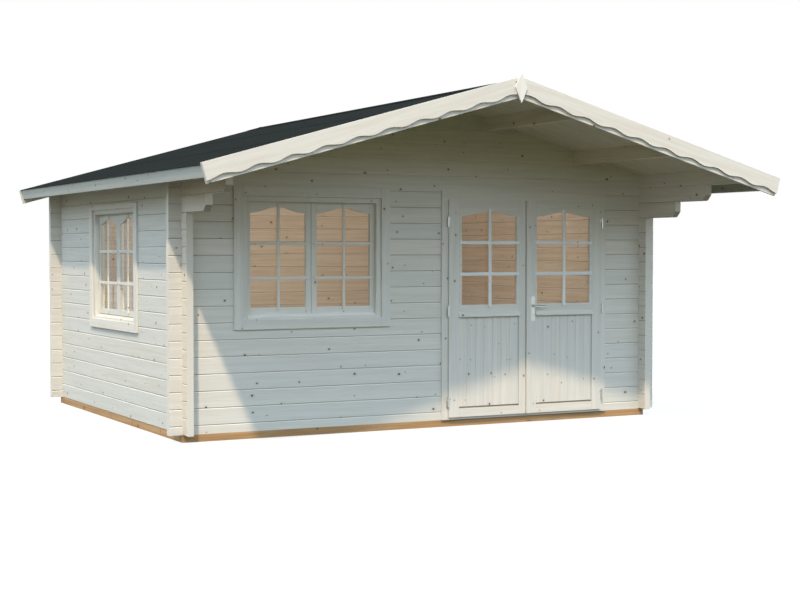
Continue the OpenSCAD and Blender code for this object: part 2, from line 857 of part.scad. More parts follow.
// Lever: one neck through the leaf with a grip at each end
module door_lever() {
    out_y = leaf_face - plate_t - grip_out;
    in_y = leaf_back + plate_t + grip_out;
    color(steel) at_door() translate([plate_x, 0, spindle_z]) {
        translate([0, in_y, 0]) rotate([90, 0, 0]) cylinder(r = neck_r, h = in_y - out_y);
        for (y = [out_y, in_y]) translate([0, y, 0]) {
            rotate([0, 90, 0]) cylinder(r = grip_r, h = grip_l);
            sphere(r = grip_r);
            translate([grip_l, 0, 0]) sphere(r = grip_r);
        }
    }
}

foundation_front();
foundation_back();
foundation_left();
foundation_right();
floor_joists();
floor_boards();
front_wall_low();
front_wall_left_pier();
front_wall_middle_pier();
front_wall_right_pier();
front_gable();
back_wall();
left_wall_low();
left_wall_front_pier();
left_wall_rear_pier();
left_wall_top();
right_wall();
purlins();
roof_boards_left();
roof_boards_right();
roof_felt_left();
roof_felt_right();
eave_boards();
front_bargeboard_left();
front_bargeboard_right();
front_scallop_left();
front_scallop_right();
gable_diamond();
back_bargeboard_left();
back_bargeboard_right();
front_window_casing();
front_window_frame();
front_window_sashes();
front_window_glass();
left_window_casing();
left_window_frame();
left_window_sashes();
left_window_glass();
door_jambs();
door_head();
door_threshold();
door_hinge_pins();
left_door_leaf();
left_door_panel();
left_door_glass();
left_door_knuckles();
right_door_leaf();
right_door_panel();
right_door_glass();
right_door_knuckles();
door_cover_strip();
door_handle_plates();
door_lever();
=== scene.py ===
# Garden cabin of whitewashed spruce logs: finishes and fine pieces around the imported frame
import math
import random

import bmesh
import bpy
from mathutils import Matrix, Vector, noise


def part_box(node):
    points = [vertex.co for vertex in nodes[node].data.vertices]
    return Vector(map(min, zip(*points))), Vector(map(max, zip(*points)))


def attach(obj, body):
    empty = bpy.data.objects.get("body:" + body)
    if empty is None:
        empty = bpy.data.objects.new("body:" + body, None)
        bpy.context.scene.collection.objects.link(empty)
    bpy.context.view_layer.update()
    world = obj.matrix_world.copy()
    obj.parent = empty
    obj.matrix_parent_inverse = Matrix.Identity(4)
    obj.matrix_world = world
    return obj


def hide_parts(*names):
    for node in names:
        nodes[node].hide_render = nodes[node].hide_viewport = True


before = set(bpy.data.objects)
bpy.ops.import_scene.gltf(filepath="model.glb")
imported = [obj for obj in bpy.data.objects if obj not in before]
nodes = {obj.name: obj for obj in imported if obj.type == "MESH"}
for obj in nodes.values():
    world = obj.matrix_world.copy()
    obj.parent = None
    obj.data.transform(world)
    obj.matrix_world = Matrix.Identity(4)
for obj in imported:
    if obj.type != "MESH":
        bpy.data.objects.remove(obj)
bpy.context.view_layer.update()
scene = bpy.context.scene
grainDraw = random.Random(11)  # where each board takes its stretch of grain
grainStep = 0.5  # metres between two boards' stretches, across the grain

# What the whole cabin shares, in metres, read from the frame where the frame has it
house = {
    "logHeight": 0.135,
    "logThick": 0.058,
    "logFoot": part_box("front_wall_low")[0].z,
    "front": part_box("front_wall_low")[0].y,
    "back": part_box("back_wall")[1].y,
    "side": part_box("foundation_right")[1].x,
    "pitch": math.radians(15.6),
    "roofBoard": 0.019,
    "glassLap": 0.008,
    "sashStile": 0.050,
}
house["middleY"] = (house["front"] + house["back"]) / 2
house["halfDeep"] = house["back"] - house["middleY"]
fallCos, fallSin = math.cos(house["pitch"]), math.sin(house["pitch"])
print("frame loaded:", len(nodes), "nodes")


def linear(code):
    channels = [int(code[i:i + 2], 16) / 255 for i in (1, 3, 5)]
    spread = [c / 12.92 if c <= 0.04045 else ((c + 0.055) / 1.055) ** 2.4 for c in channels]
    return (*spread, 1.0)


def addNode(owner, kind, inputs, out=0, **settings):
    node = owner.node_tree.nodes.new("ShaderNode" + kind)
    for key, value in settings.items():
        setattr(node, key, value)
    for key, value in inputs.items():
        if isinstance(value, bpy.types.NodeSocket):
            owner.node_tree.links.new(value, node.inputs[key])
        else:
            node.inputs[key].default_value = value
    return node if out is None else node.outputs[out]


def newMaterial(name, **shader):
    mat = bpy.data.materials.new(name)
    mat.use_nodes = True
    for key, value in shader.items():
        mat.node_tree.nodes["Principled BSDF"].inputs[key.replace("_", " ")].default_value = value
    return mat


def linkShader(mat, **sockets):
    shader = mat.node_tree.nodes["Principled BSDF"]
    for key, socket in sockets.items():
        mat.node_tree.links.new(socket, shader.inputs[key.replace("_", " ")])


# A wood's tones: even wood, darker wood, streaks of late wood, the wood round a knot and the knot itself
def woodTones(*codes):
    return dict(zip(("pale", "shade", "streak", "halo", "knot"), map(linear, codes)))


whitewash = woodTones("#E4E0D7", "#DCD8CE", "#D1CABC", "#C8BEAC", "#40352C")
# painted shade: the side walls and the side window's joinery take this darker, greyer copy of the wash
shadedSideWash = woodTones("#D9D6CE", "#D0CEC4", "#C5BEB0", "#BEB5A4", "#40352C")
cornerWash = woodTones("#DBD9D3", "#D4D1C9", "#C9C4BA", "#C1B9AB", "#40352C")
# painted sunlight: a warmer cream for the outer faces of the side logs past the corners
cornerSunCream = woodTones("#DED7CA", "#D7CFC0", "#CCC2B1", "#C3B8A4", "#40352C")
bargeWhite = woodTones("#D8D5CC", "#D2CCC1", "#C8BFB2", "#BFB19C", "#544335")
diamondWhite = woodTones("#E2DFD7", "#DCD8CF", "#D3CDC1", "#C9C0B0", "#544335")
# painted shade: an olive, duller copy of the wash for the roof boards and purlins outside
shadedSoffitWash = woodTones("#D9D3BC", "#CFC8B0", "#C0B89E", "#B5AB91", "#40352C")
# painted shade: a grey, darker copy of the wash for the eave boards
shadedEaveWhite = woodTones("#BDC0B9", "#B5B8B0", "#AAACA2", "#A3A397", "#4A3B30")
barWhite = woodTones("#F1F4F5", "#EBEEEF", "#E2E5E5", "#D5D3CC", "#5A4B3E")
barePine = woodTones("#DAC8B3", "#CEB9A0", "#BCA387", "#AD9174", "#5E4330")
# painted shade: a dark grey tone for the strips in the window rebates and behind the door panels
shadeStripSpruce = woodTones("#8F826E", "#857863", "#776A56", "#6C5F4C", "#4A3F31")
brownPine = woodTones("#C09C72", "#AE885E", "#936F49", "#86623F", "#4E311D")
coolTint = linear("#CFD5D4")  # each board leans to this by its own draw
woodSpecular = 0.25  # dry wash and bare wood mirror little


def blendTones(mat, mask, first, second):
    return {k: addNode(mat, "Mix", {0: mask, 6: first[k], 7: second[k]}, 2, data_type="RGBA") for k in first}


# Wood drawn from its own coordinates: metres along, across and through the grain
def woodLook(mat, grain, draw, tones, knotCell=(0.40, 0.135), knotSize=(0.0035, 0.006), knotShare=0.68,
             tint=0.35):
    # length and width of a streak, how far a knot's edge wanders, and a knot's width to its length
    look = {"wideGrain": (0.9, 0.030), "fineGrain": (0.20, 0.0055), "ragged": 0.004, "drawnOut": 0.8}
    wideScale = (1 / look["wideGrain"][0], 1 / look["wideGrain"][1], 1 / look["wideGrain"][1])
    fineScale = (1 / look["fineGrain"][0], 1 / look["fineGrain"][1], 1 / look["fineGrain"][1])
    wideAt = addNode(mat, "Mapping", {"Vector": grain, "Scale": wideScale})
    fineAt = addNode(mat, "Mapping", {"Vector": grain, "Scale": fineScale})
    wide = addNode(mat, "TexNoise", {"Vector": wideAt, "Scale": 1.0, "Detail": 3.0, "Distortion": 0.4})
    fine = addNode(mat, "TexNoise", {"Vector": fineAt, "Scale": 1.0, "Detail": 2.0})
    wideMask = addNode(mat, "MapRange", {0: wide, 1: 0.36, 2: 0.66}, interpolation_type="SMOOTHSTEP")
    fineMask = addNode(mat, "MapRange", {0: fine, 1: 0.48, 2: 0.78, 4: 0.55},
                       interpolation_type="SMOOTHSTEP")
    colour = addNode(mat, "Mix", {0: wideMask, 6: tones["pale"], 7: tones["shade"]}, 2, data_type="RGBA")
    colour = addNode(mat, "Mix", {0: fineMask, 6: colour, 7: tones["streak"]}, 2, data_type="RGBA")
    cool = addNode(mat, "Math", {0: draw, 1: tint}, operation="MULTIPLY")
    colour = addNode(mat, "Mix", {0: cool, 6: colour, 7: coolTint}, 2, data_type="RGBA")
    # knots: one place a cell, drawn out along the grain, a random size, and some cells bare
    cellScale = (1 / knotCell[0], 1 / knotCell[1], 0.0)
    cellAt = addNode(mat, "VectorMath", {0: grain, 1: cellScale}, operation="MULTIPLY")
    knotAt = addNode(mat, "TexVoronoi", {"Vector": cellAt, "Scale": 1.0}, "Position",
                     voronoi_dimensions="2D")
    chance = addNode(mat, "SeparateColor", {0: knotAt.node.outputs["Color"]}).node
    away = addNode(mat, "VectorMath", {0: cellAt, 1: knotAt}, operation="SUBTRACT")
    cellSize = (knotCell[0] * look["drawnOut"], knotCell[1], 0.0)
    away = addNode(mat, "VectorMath", {0: away, 1: cellSize}, operation="MULTIPLY")
    far = addNode(mat, "VectorMath", {0: away}, "Value", operation="LENGTH")
    wobble = addNode(mat, "Math", {0: fine, 1: look["ragged"], 2: far}, operation="MULTIPLY_ADD")
    grown = addNode(mat, "Math", {0: chance.outputs["Red"], 1: 2.0}, operation="POWER")
    least = knotSize[0] + look["ragged"] / 2
    radius = addNode(mat, "Math", {0: grown, 1: knotSize[1], 2: least}, operation="MULTIPLY_ADD")
    present = addNode(mat, "Math", {0: chance.outputs["Green"], 1: knotShare}, operation="LESS_THAN")
    ratio = addNode(mat, "Math", {0: wobble, 1: radius}, operation="DIVIDE")
    knot = addNode(mat, "MapRange", {0: ratio, 1: 1.15, 2: 0.75, 4: present},
                   interpolation_type="SMOOTHSTEP")
    core = addNode(mat, "MapRange", {0: ratio, 1: 0.75, 2: 0.2, 4: 0.35}, interpolation_type="SMOOTHSTEP")
    ring = addNode(mat, "MapRange", {0: ratio, 1: 3.0, 2: 1.0, 4: 0.40}, interpolation_type="SMOOTHSTEP")
    ring = addNode(mat, "Math", {0: ring, 1: present}, operation="MULTIPLY")
    colour = addNode(mat, "Mix", {0: ring, 6: colour, 7: tones["halo"]}, 2, data_type="RGBA")
    knotColour = addNode(mat, "Mix", {0: core, 6: tones["knot"], 7: tones["halo"]}, 2, data_type="RGBA")
    colour = addNode(mat, "Mix", {0: knot, 6: colour, 7: knotColour}, 2, data_type="RGBA")
    rise = addNode(mat, "Math", {0: fine, 1: 0.6, 2: knot}, operation="MULTIPLY_ADD")
    return colour, rise


def finishWood(mat, colour, rise, rough=(0.60, 0.78), relief=0.0006):
    gloss = addNode(mat, "MapRange", {0: rise, 1: 0.2, 2: 0.7, 3: rough[0], 4: rough[1]})
    bump = addNode(mat, "Bump", {"Strength": 0.6, "Distance": relief, "Height": rise})
    linkShader(mat, Base_Color=colour, Roughness=gloss, Normal=bump)
    return mat


# Wash outside, bare pine where the wood faces the room
def roomTones(mat, wash):
    x, y = addNode(mat, "SeparateXYZ", {0: addNode(mat, "TexCoord", {}, "Object")}).node.outputs[:2]
    roomX = house["side"] - house["logThick"] / 2
    roomY = house["halfDeep"] - house["logThick"] / 2
    insideX = addNode(mat, "Math", {0: x, 1: 0.0, 2: roomX}, operation="COMPARE")
    insideY = addNode(mat, "Math", {0: y, 1: house["middleY"], 2: roomY}, operation="COMPARE")
    room = addNode(mat, "Math", {0: insideX, 1: insideY}, operation="MULTIPLY")
    washed = addNode(mat, "Math", {0: 1.0, 1: room}, operation="SUBTRACT")
    return blendTones(mat, room, wash, barePine), washed


# Spruce logs, dipped in white wash outside and bare inside: soft streaks, small dark knots, ringed ends
def logWood(name, alongX, wash):
    # rings drawn coarser than real ones to show; heights over which the painted gable shade comes in and the
    # painted joint shade fades out
    look = {"ringWidth": 0.01208, "corbelPast": 0.2, "gableShadeHeights": (2.0, 2.5), "jointShadeHeights": (1.85, 2.25)}
    mat = newMaterial(name, Specular_IOR_Level=woodSpecular)
    at = addNode(mat, "TexCoord", {}, "Object")
    x, y, z = addNode(mat, "SeparateXYZ", {0: at}).node.outputs
    facing = addNode(mat, "SeparateXYZ", {0: at.node.outputs["Normal"]}).node.outputs
    along, through = (x, y) if alongX else (y, x)
    spans = [(0.0, house["side"]), (house["middleY"], house["halfDeep"])]  # the house's middles and halves
    (heart, reach), (middle, wallFace) = spans if alongX else spans[::-1]
    tall = house["logHeight"]
    phase = 0.5 if alongX else 0.0  # the front and back walls lie half a course over the sides
    firstCourse = -house["logFoot"] / tall - phase
    course = addNode(mat, "Math", {0: z, 1: 1 / tall, 2: firstCourse}, operation="MULTIPLY_ADD")
    index = addNode(mat, "Math", {0: course}, operation="FLOOR")
    side = addNode(mat, "Math", {0: through, 1: middle}, operation="GREATER_THAN")
    key = addNode(mat, "CombineXYZ", {0: index, 1: side, 2: phase})
    draw = addNode(mat, "TexWhiteNoise", {"Vector": key}, "Value")
    # every log has its own stretch of grain, far from the next one's
    start = addNode(mat, "Math", {0: draw, 1: 37.0, 2: along}, operation="MULTIPLY_ADD")
    row = addNode(mat, "Math", {0: index, 1: 4.0, 2: course}, operation="MULTIPLY_ADD")
    across = addNode(mat, "Math", {0: row, 1: tall}, operation="MULTIPLY")
    grain = addNode(mat, "CombineXYZ", {0: start, 1: across, 2: through})
    tones, washed = roomTones(mat, wash)
    # ends that run on past the corners keep a tone of their own, and the outer faces of the side logs a
    # warmer cream that is painted sunlight
    held = addNode(mat, "Math", {0: along, 1: heart, 2: reach}, operation="COMPARE")
    free = cornerWash
    if not alongX:
        outward = addNode(mat, "Math", {0: facing[0], 1: x}, operation="MULTIPLY")
        outward = addNode(mat, "Math", {0: outward, 1: 0.0}, operation="GREATER_THAN")
        free = blendTones(mat, outward, whitewash, cornerSunCream)
    tones = blendTones(mat, held, free, tones)
    washed = addNode(mat, "Math", {0: washed, 1: held}, operation="MULTIPLY")
    coolDraw = addNode(mat, "Math", {0: draw, 1: washed}, operation="MULTIPLY")
    colour, rise = woodLook(mat, grain, coolDraw, tones)
    # ends of the logs: rings about a pith that lies near one edge of the log
    endOn = addNode(mat, "Math", {0: facing[0 if alongX else 1]}, operation="ABSOLUTE")
    endOn = addNode(mat, "Math", {0: endOn, 1: 0.8}, operation="GREATER_THAN")
    off = addNode(mat, "Math", {0: through, 1: middle}, operation="SUBTRACT")
    off = addNode(mat, "Math", {0: off}, operation="ABSOLUTE")
    off = addNode(mat, "Math", {0: off, 1: wallFace - house["logThick"] / 2}, operation="SUBTRACT")
    up = addNode(mat, "Math", {0: course}, operation="FRACT")
    pith = addNode(mat, "Math", {0: draw, 1: 0.7}, operation="MULTIPLY")
    up = addNode(mat, "Math", {0: up, 1: pith}, operation="SUBTRACT")
    up = addNode(mat, "Math", {0: up, 1: tall}, operation="MULTIPLY")
    section = addNode(mat, "CombineXYZ", {0: off, 1: up, 2: draw})
    ringAt = addNode(mat, "VectorMath", {0: section, 1: (1.0, 1.0, 0.0)}, operation="MULTIPLY")
    ringScale = math.pi / 10 / look["ringWidth"]  # the wave's own period is a tenth of pi
    rings = addNode(mat, "TexWave", {"Vector": ringAt, "Scale": ringScale, "Distortion": 1.2, "Detail": 1.0},
                    wave_type="RINGS", rings_direction="Z")
    ringMask = addNode(mat, "MapRange", {0: rings.node.outputs["Fac"], 1: 0.3, 2: 0.9, 4: 0.45})
    early, late = linear("#DCD8CE"), linear("#CFC8BA")
    ends = addNode(mat, "Mix", {0: ringMask, 6: early, 7: late}, 2, data_type="RGBA")
    corbelFrom = house["front"] - look["corbelPast"]
    litCorbelEnds = addNode(mat, "Math", {0: y, 1: corbelFrom}, operation="LESS_THAN")  # painted light: the corbel ends past the front wall are drawn whiter
    ends = addNode(mat, "Mix", {0: litCorbelEnds, 6: ends, 7: linear("#F4F2EC")}, 2, data_type="RGBA")
    colour = addNode(mat, "Mix", {0: endOn, 6: colour, 7: ends}, 2, data_type="RGBA")
    # painted shade: the logs are drawn darker and yellower high in the gable, under the roof
    low, high = look["gableShadeHeights"]
    thin = addNode(mat, "MapRange", {0: z, 1: low, 2: high}, interpolation_type="SMOOTHSTEP")
    thin = addNode(mat, "Math", {0: thin, 1: washed}, operation="MULTIPLY")
    colour = addNode(mat, "Mix", {0: thin, 6: colour, 7: linear("#ECEDD4")}, 2, data_type="RGBA",
                     blend_type="MULTIPLY")
    # painted shade under the upper lip of the V joints, fading out high under the roof
    low, high = look["jointShadeHeights"]
    joint = addNode(mat, "Math", {0: facing[2], 1: -0.7, 2: 0.12}, operation="COMPARE")
    jointShadeFade = addNode(mat, "MapRange", {0: z, 1: low, 2: high, 3: 0.62, 4: 0.05},
                    interpolation_type="SMOOTHSTEP")
    jointShade = addNode(mat, "Math", {0: joint, 1: jointShadeFade}, operation="MULTIPLY")
    colour = addNode(mat, "Mix", {0: jointShade, 6: colour, 7: linear("#8A7B66")}, 2, data_type="RGBA")
    # painted highlight on the lower lip of the V joints, which faces up
    lip = addNode(mat, "Math", {0: facing[2], 1: 0.7, 2: 0.12}, operation="COMPARE")
    lipHighlight = addNode(mat, "Math", {0: lip, 1: 0.4}, operation="MULTIPLY")
    colour = addNode(mat, "Mix", {0: lipHighlight, 6: colour, 7: linear("#F6F5F0")}, 2, data_type="RGBA")
    return finishWood(mat, colour, rise)


# Sawn boards that keep their own grain coordinates: streaks run along each board, and no two are alike
def boardWood(name, colours, overRoom=False, **look):
    mat = newMaterial(name, Specular_IOR_Level=woodSpecular)
    grain = addNode(mat, "Attribute", {}, "Vector", attribute_name="grain")
    row = addNode(mat, "SeparateXYZ", {0: grain}).node.outputs[1]
    key = addNode(mat, "Math", {0: row, 1: 1 / grainStep}, operation="MULTIPLY")  # one number a board
    key = addNode(mat, "Math", {0: key}, operation="ROUND")
    draw = addNode(mat, "TexWhiteNoise", {"W": key}, "Value", noise_dimensions="1D")
    tones = roomTones(mat, colours)[0] if overRoom else colours
    colour, rise = woodLook(mat, grain, draw, tones, **look)
    return finishWood(mat, colour, rise)


# Planed boards of the frame: the grain is turned to run along the piece
def planedWood(name, colours, along, across, butts=(), overRoom=False, **look):
    mat = newMaterial(name, Specular_IOR_Level=woodSpecular)
    at = addNode(mat, "TexCoord", {}, "Object")
    a, b = Vector(along).normalized(), Vector(across).normalized()
    turn = Matrix((a, b, a.cross(b))).to_euler()
    grain = addNode(mat, "Mapping", {"Vector": at, "Rotation": turn})
    side = addNode(mat, "Math", {0: addNode(mat, "SeparateXYZ", {0: at}), 1: 0.0}, operation="GREATER_THAN")
    draw = addNode(mat, "Math", {0: side, 1: 0.4}, operation="MULTIPLY")
    tones = roomTones(mat, colours)[0] if overRoom else colours
    colour, rise = woodLook(mat, grain, draw, tones, **look)
    for place in butts:  # dark line where two lengths meet
        far = addNode(mat, "SeparateXYZ", {0: grain})
        line = addNode(mat, "Math", {0: far, 1: place, 2: 0.003}, operation="COMPARE")
        line = addNode(mat, "Math", {0: line, 1: 0.75}, operation="MULTIPLY")
        colour = addNode(mat, "Mix", {0: line, 6: colour, 7: linear("#3B2A1B")}, 2, data_type="RGBA")
    return finishWood(mat, colour, rise)


# Joinery of planed spruce: upright grain in the stiles, lying in the rails, a fine line where they meet
def joineryWood(name, stiles, acrossX, sillLight):
    look = {"jointLine": 0.0012, "jointDark": 0.45, "knotCell": (0.42, 0.09), "knotSize": (0.003, 0.004)}
    mat = newMaterial(name, Specular_IOR_Level=woodSpecular)
    at = addNode(mat, "TexCoord", {}, "Object")
    x, y, z = addNode(mat, "SeparateXYZ", {0: at}).node.outputs
    across, through = (x, y) if acrossX else (y, x)
    upright, line = 0.0, 0.0
    for low, high in stiles:
        middle, half = (low + high) / 2, (high - low) / 2
        inside = addNode(mat, "Math", {0: across, 1: middle, 2: half}, operation="COMPARE")
        halfWider = half + look["jointLine"]
        wider = addNode(mat, "Math", {0: across, 1: middle, 2: halfWider}, operation="COMPARE")
        upright = addNode(mat, "Math", {0: upright, 1: inside}, operation="MAXIMUM")
        line = addNode(mat, "Math", {0: line, 1: wider}, operation="MAXIMUM")
    line = addNode(mat, "Math", {0: line, 1: upright}, operation="SUBTRACT")
    lying = addNode(mat, "CombineXYZ", {0: across, 1: z, 2: through})
    standing = addNode(mat, "CombineXYZ", {0: z, 1: across, 2: through})
    grain = addNode(mat, "Mix", {0: upright, 4: lying, 5: standing}, 1, data_type="VECTOR")
    draw = addNode(mat, "Math", {0: upright, 1: 0.3, 2: 0.35}, operation="MULTIPLY_ADD")
    # the side window's joinery takes the shaded side wash, painted shade
    tones = whitewash if acrossX else shadedSideWash
    colour, rise = woodLook(mat, grain, draw, tones, look["knotCell"], look["knotSize"], knotShare=0.5)
    mark = addNode(mat, "Math", {0: line, 1: look["jointDark"]}, operation="MULTIPLY")
    colour = addNode(mat, "Mix", {0: mark, 6: colour, 7: linear("#7C6E5C")}, 2, data_type="RGBA")
    facing = addNode(mat, "SeparateXYZ", {0: at.node.outputs["Normal"]}).node.outputs
    # painted highlight: the up-facing sloped sill is drawn whiter
    sillHighlight = addNode(mat, "Math", {0: facing[2], 1: 0.9, 2: 0.06}, operation="COMPARE")
    sillHighlight = addNode(mat, "Math", {0: sillHighlight, 1: sillLight}, operation="MULTIPLY")
    colour = addNode(mat, "Mix", {0: sillHighlight, 6: colour, 7: linear("#F8F9FA")}, 2, data_type="RGBA")
    return finishWood(mat, colour, rise)


# Bitumen felt faced with crushed slate: near black and dull, a grey sparkle of grit, streaks down the fall
def slateFelt(name):
    look = {"grit": 0.006, "streak": (0.9, 0.05)}  # grit drawn coarser than it is, to show
    mat = newMaterial(name, Specular_IOR_Level=0.0)
    at = addNode(mat, "TexCoord", {}, "Object")
    grit = addNode(mat, "TexNoise", {"Vector": at, "Scale": 1 / look["grit"], "Detail": 2.0})
    down, along = 1 / look["streak"][0], 1 / look["streak"][1]
    streakAt = addNode(mat, "Mapping", {"Vector": at, "Scale": (down, along, down)})
    streak = addNode(mat, "TexNoise", {"Vector": streakAt, "Scale": 1.0, "Detail": 3.0})
    gritMask = addNode(mat, "MapRange", {0: grit, 1: 0.45, 2: 0.75})
    streakMask = addNode(mat, "MapRange", {0: streak, 1: 0.4, 2: 0.75, 4: 0.6})
    base, fleck = linear("#1B1E1D"), linear("#323534")
    colour = addNode(mat, "Mix", {0: gritMask, 6: base, 7: fleck}, 2, data_type="RGBA")
    colour = addNode(mat, "Mix", {0: streakMask, 6: colour, 7: linear("#292C2B")}, 2, data_type="RGBA")
    gloss = addNode(mat, "MapRange", {0: grit, 3: 0.75, 4: 0.95})
    bump = addNode(mat, "Bump", {"Strength": 0.8, "Distance": 0.001, "Height": grit})
    linkShader(mat, Base_Color=colour, Roughness=gloss, Normal=bump)
    return mat


# Float glass: clear with a faint green; a low IOR keeps its mirror faint, and shadow rays pass to the room
def floatGlass(name):
    mat = newMaterial(name, Base_Color=linear("#F1F6F4"), Roughness=0.0, IOR=1.25, Transmission_Weight=1.0)
    tree = mat.node_tree
    clear = addNode(mat, "BsdfTransparent", {"Color": linear("#F1F6F4")})
    shadow = addNode(mat, "LightPath", {}, "Is Shadow Ray")
    pane = addNode(mat, "MixShader", {0: shadow, 1: tree.nodes["Principled BSDF"].outputs[0], 2: clear})
    tree.links.new(pane, tree.nodes["Material Output"].inputs["Surface"])
    return mat


# Satin nickel on steel: soft bright metal with fine brush marks
def satinSteel(name):
    look = {"brush": (0.0015, 0.03)}  # width and length of a mark, drawn coarser than it is, to show
    mat = newMaterial(name, Base_Color=linear("#C1C4C2"), Metallic=1.0)
    at = addNode(mat, "TexCoord", {}, "Object")
    wide, long = 1 / look["brush"][0], 1 / look["brush"][1]
    brushAt = addNode(mat, "Mapping", {"Vector": at, "Scale": (wide, wide, long)})
    brush = addNode(mat, "TexNoise", {"Vector": brushAt, "Scale": 1.0, "Detail": 2.0})
    gloss = addNode(mat, "MapRange", {0: brush, 3: 0.26, 4: 0.44})
    bump = addNode(mat, "Bump", {"Strength": 0.25, "Distance": 0.0002, "Height": brush})
    linkShader(mat, Roughness=gloss, Normal=bump)
    return mat


slopeAlong = {side: (fallCos, 0, -side * fallSin) for side in (-1, 1)}
slopeAcross = {side: (side * fallSin, 0, fallCos) for side in (-1, 1)}
beamButts = (0.105, 0.734)  # where two lengths of a side beam meet

logsX = logWood("whitewashedSpruceLogsAcross", True, whitewash)
logsY = logWood("whitewashedSpruceLogsDeep", False, shadedSideWash)
trimBoards = boardWood("whitewashedSpruceBoards", whitewash, knotCell=(0.32, 0.11), knotSize=(0.003, 0.005))
shadeStripBoards = boardWood("greyedSprucePaintedShade", shadeStripSpruce, knotCell=(0.9, 0.5), tint=0.0)
barBoards = boardWood("whitewashedSpruceBars", barWhite, knotCell=(0.9, 0.5), tint=0.2)
soffitBoards = boardWood("planedSpruceRoofBoards", shadedSoffitWash, True, knotCell=(0.6, 0.5), tint=0.1)
pineBoards = boardWood("planedPineFloorBoards", barePine, knotCell=(0.5, 0.5), tint=0.0)
eaveBoards = boardWood("shadedWhitewashAlongEaves", shadedEaveWhite)
bargeBoards = boardWood("whitewashedSpruceBargeboards", bargeWhite, knotCell=(0.45, 0.16), tint=0.0)
purlinWood = planedWood("planedSprucePurlins", shadedSoffitWash, (0, 1, 0), (0.7, 0, 0.7), (), True, tint=0.1)
bargeWood = {side: planedWood("whitewashedSpruceBarge" + label, bargeWhite, slopeAlong[side],
                              slopeAcross[side], knotCell=(0.45, 0.16), knotShare=0.6, tint=0.0)
             for side, label in ((-1, "Left"), (1, "Right"))}
diamondWood = planedWood("whitewashedSpruceUpright", diamondWhite, (0, 0, 1), (1, 0, 0), knotShare=0.2,
                         tint=0.0)
brownX = planedWood("impregnatedPineAcross", brownPine, (1, 0, 0), (0, 0.7, 0.7), tint=0.0)
brownY = planedWood("impregnatedPineDeep", brownPine, (0, 1, 0), (0.7, 0, 0.7), beamButts, tint=0.0)
jambWood = planedWood("whitewashedSpruceJambs", whitewash, (0, 0, 1), (0.7, 0.7, 0), knotCell=(0.5, 0.1))
headWood = planedWood("whitewashedSpruceHead", whitewash, (1, 0, 0), (0, 0.7, 0.7), knotCell=(0.5, 0.1))
feltSlate = slateFelt("slateFacedFelt")
clearGlass = floatGlass("floatGlass")
nickel = satinSteel("satinNickel")
print("materials made:", len(bpy.data.materials))


def dress(mat, *names):
    for name in names:
        nodes[name].data.materials.clear()
        nodes[name].data.materials.append(mat)


dress(logsX, "front_wall_low", "front_wall_left_pier", "front_wall_middle_pier", "front_wall_right_pier")
dress(logsX, "front_gable", "back_wall")
dress(logsY, "left_wall_low", "left_wall_front_pier", "left_wall_rear_pier", "left_wall_top", "right_wall")
dress(purlinWood, "purlins")
dress(bargeWood[-1], "front_bargeboard_left", "front_scallop_left")
dress(bargeWood[1], "front_bargeboard_right", "front_scallop_right")
dress(diamondWood, "gable_diamond")
dress(brownX, "foundation_front", "foundation_back")
dress(brownY, "foundation_left", "foundation_right", "floor_joists")
dress(jambWood, "door_jambs", "door_cover_strip")
dress(headWood, "door_head", "door_threshold")
dress(clearGlass, "front_window_glass", "left_window_glass", "left_door_glass", "right_door_glass")
dress(nickel, "door_hinge_pins", "left_door_knuckles", "right_door_knuckles", "door_handle_plates")


# Stiles run from the piece's edges to what it holds: glass, panel or sashes
def dressJoinery(name, held, axis, mat):
    past = 0.01  # the outer stiles reach safely past the piece's own edges
    sillLight = 0.6 if axis == 0 else 0.0
    lo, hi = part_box(name)
    heldLo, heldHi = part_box(held)
    lap = house["glassLap"]
    stiles = [(lo[axis] - past, heldLo[axis] + lap), (heldHi[axis] - lap, hi[axis] + past)]
    if "window" in name:  # the two sashes meet in the middle
        middle = (lo[axis] + hi[axis]) / 2
        stiles.append((middle - house["sashStile"], middle + house["sashStile"]))
    dress(joineryWood(mat, stiles, axis == 0, sillLight), name)


dressJoinery("left_door_leaf", "left_door_panel", 0, "whitewashedSpruceLeftLeaf")
dressJoinery("right_door_leaf", "right_door_panel", 0, "whitewashedSpruceRightLeaf")
dressJoinery("front_window_sashes", "front_window_glass", 0, "whitewashedSpruceFrontSashes")
dressJoinery("left_window_sashes", "left_window_glass", 1, "whitewashedSpruceLeftSashes")
dressJoinery("front_window_frame", "front_window_sashes", 0, "whitewashedSpruceFrontFrame")
dressJoinery("left_window_frame", "left_window_sashes", 1, "whitewashedSpruceLeftFrame")
print("frame pieces dressed")


def startPiece():
    bm = bmesh.new()
    bm.verts.layers.float_vector.new("grain")
    bm.verts.layers.int.new("settled")
    return bm


# New vertices keep their board's own coordinates for the grain, then go to their place
def settle(bm, place):
    grain = bm.verts.layers.float_vector["grain"]
    settled = bm.verts.layers.int["settled"]
    fresh = [v for v in bm.verts if not v[settled]]
    shift = Vector((grainDraw.uniform(-20, 20), grainDraw.randrange(-40, 40) * grainStep, 0))
    for v in fresh:
        v[grain] = v.co + shift
        v[settled] = 1
    bmesh.ops.transform(bm, matrix=place, verts=fresh)


def finishPiece(bm, name, body, mat, replaced=()):
    bm.verts.layers.int.remove(bm.verts.layers.int["settled"])
    bmesh.ops.recalc_face_normals(bm, faces=bm.faces)
    mesh = bpy.data.meshes.new(name)
    bm.to_mesh(mesh)
    bm.free()
    mesh.materials.append(mat)
    piece = bpy.data.objects.new(name, mesh)
    scene.collection.objects.link(piece)
    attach(piece, body)
    if replaced:
        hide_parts(*replaced)
    return piece


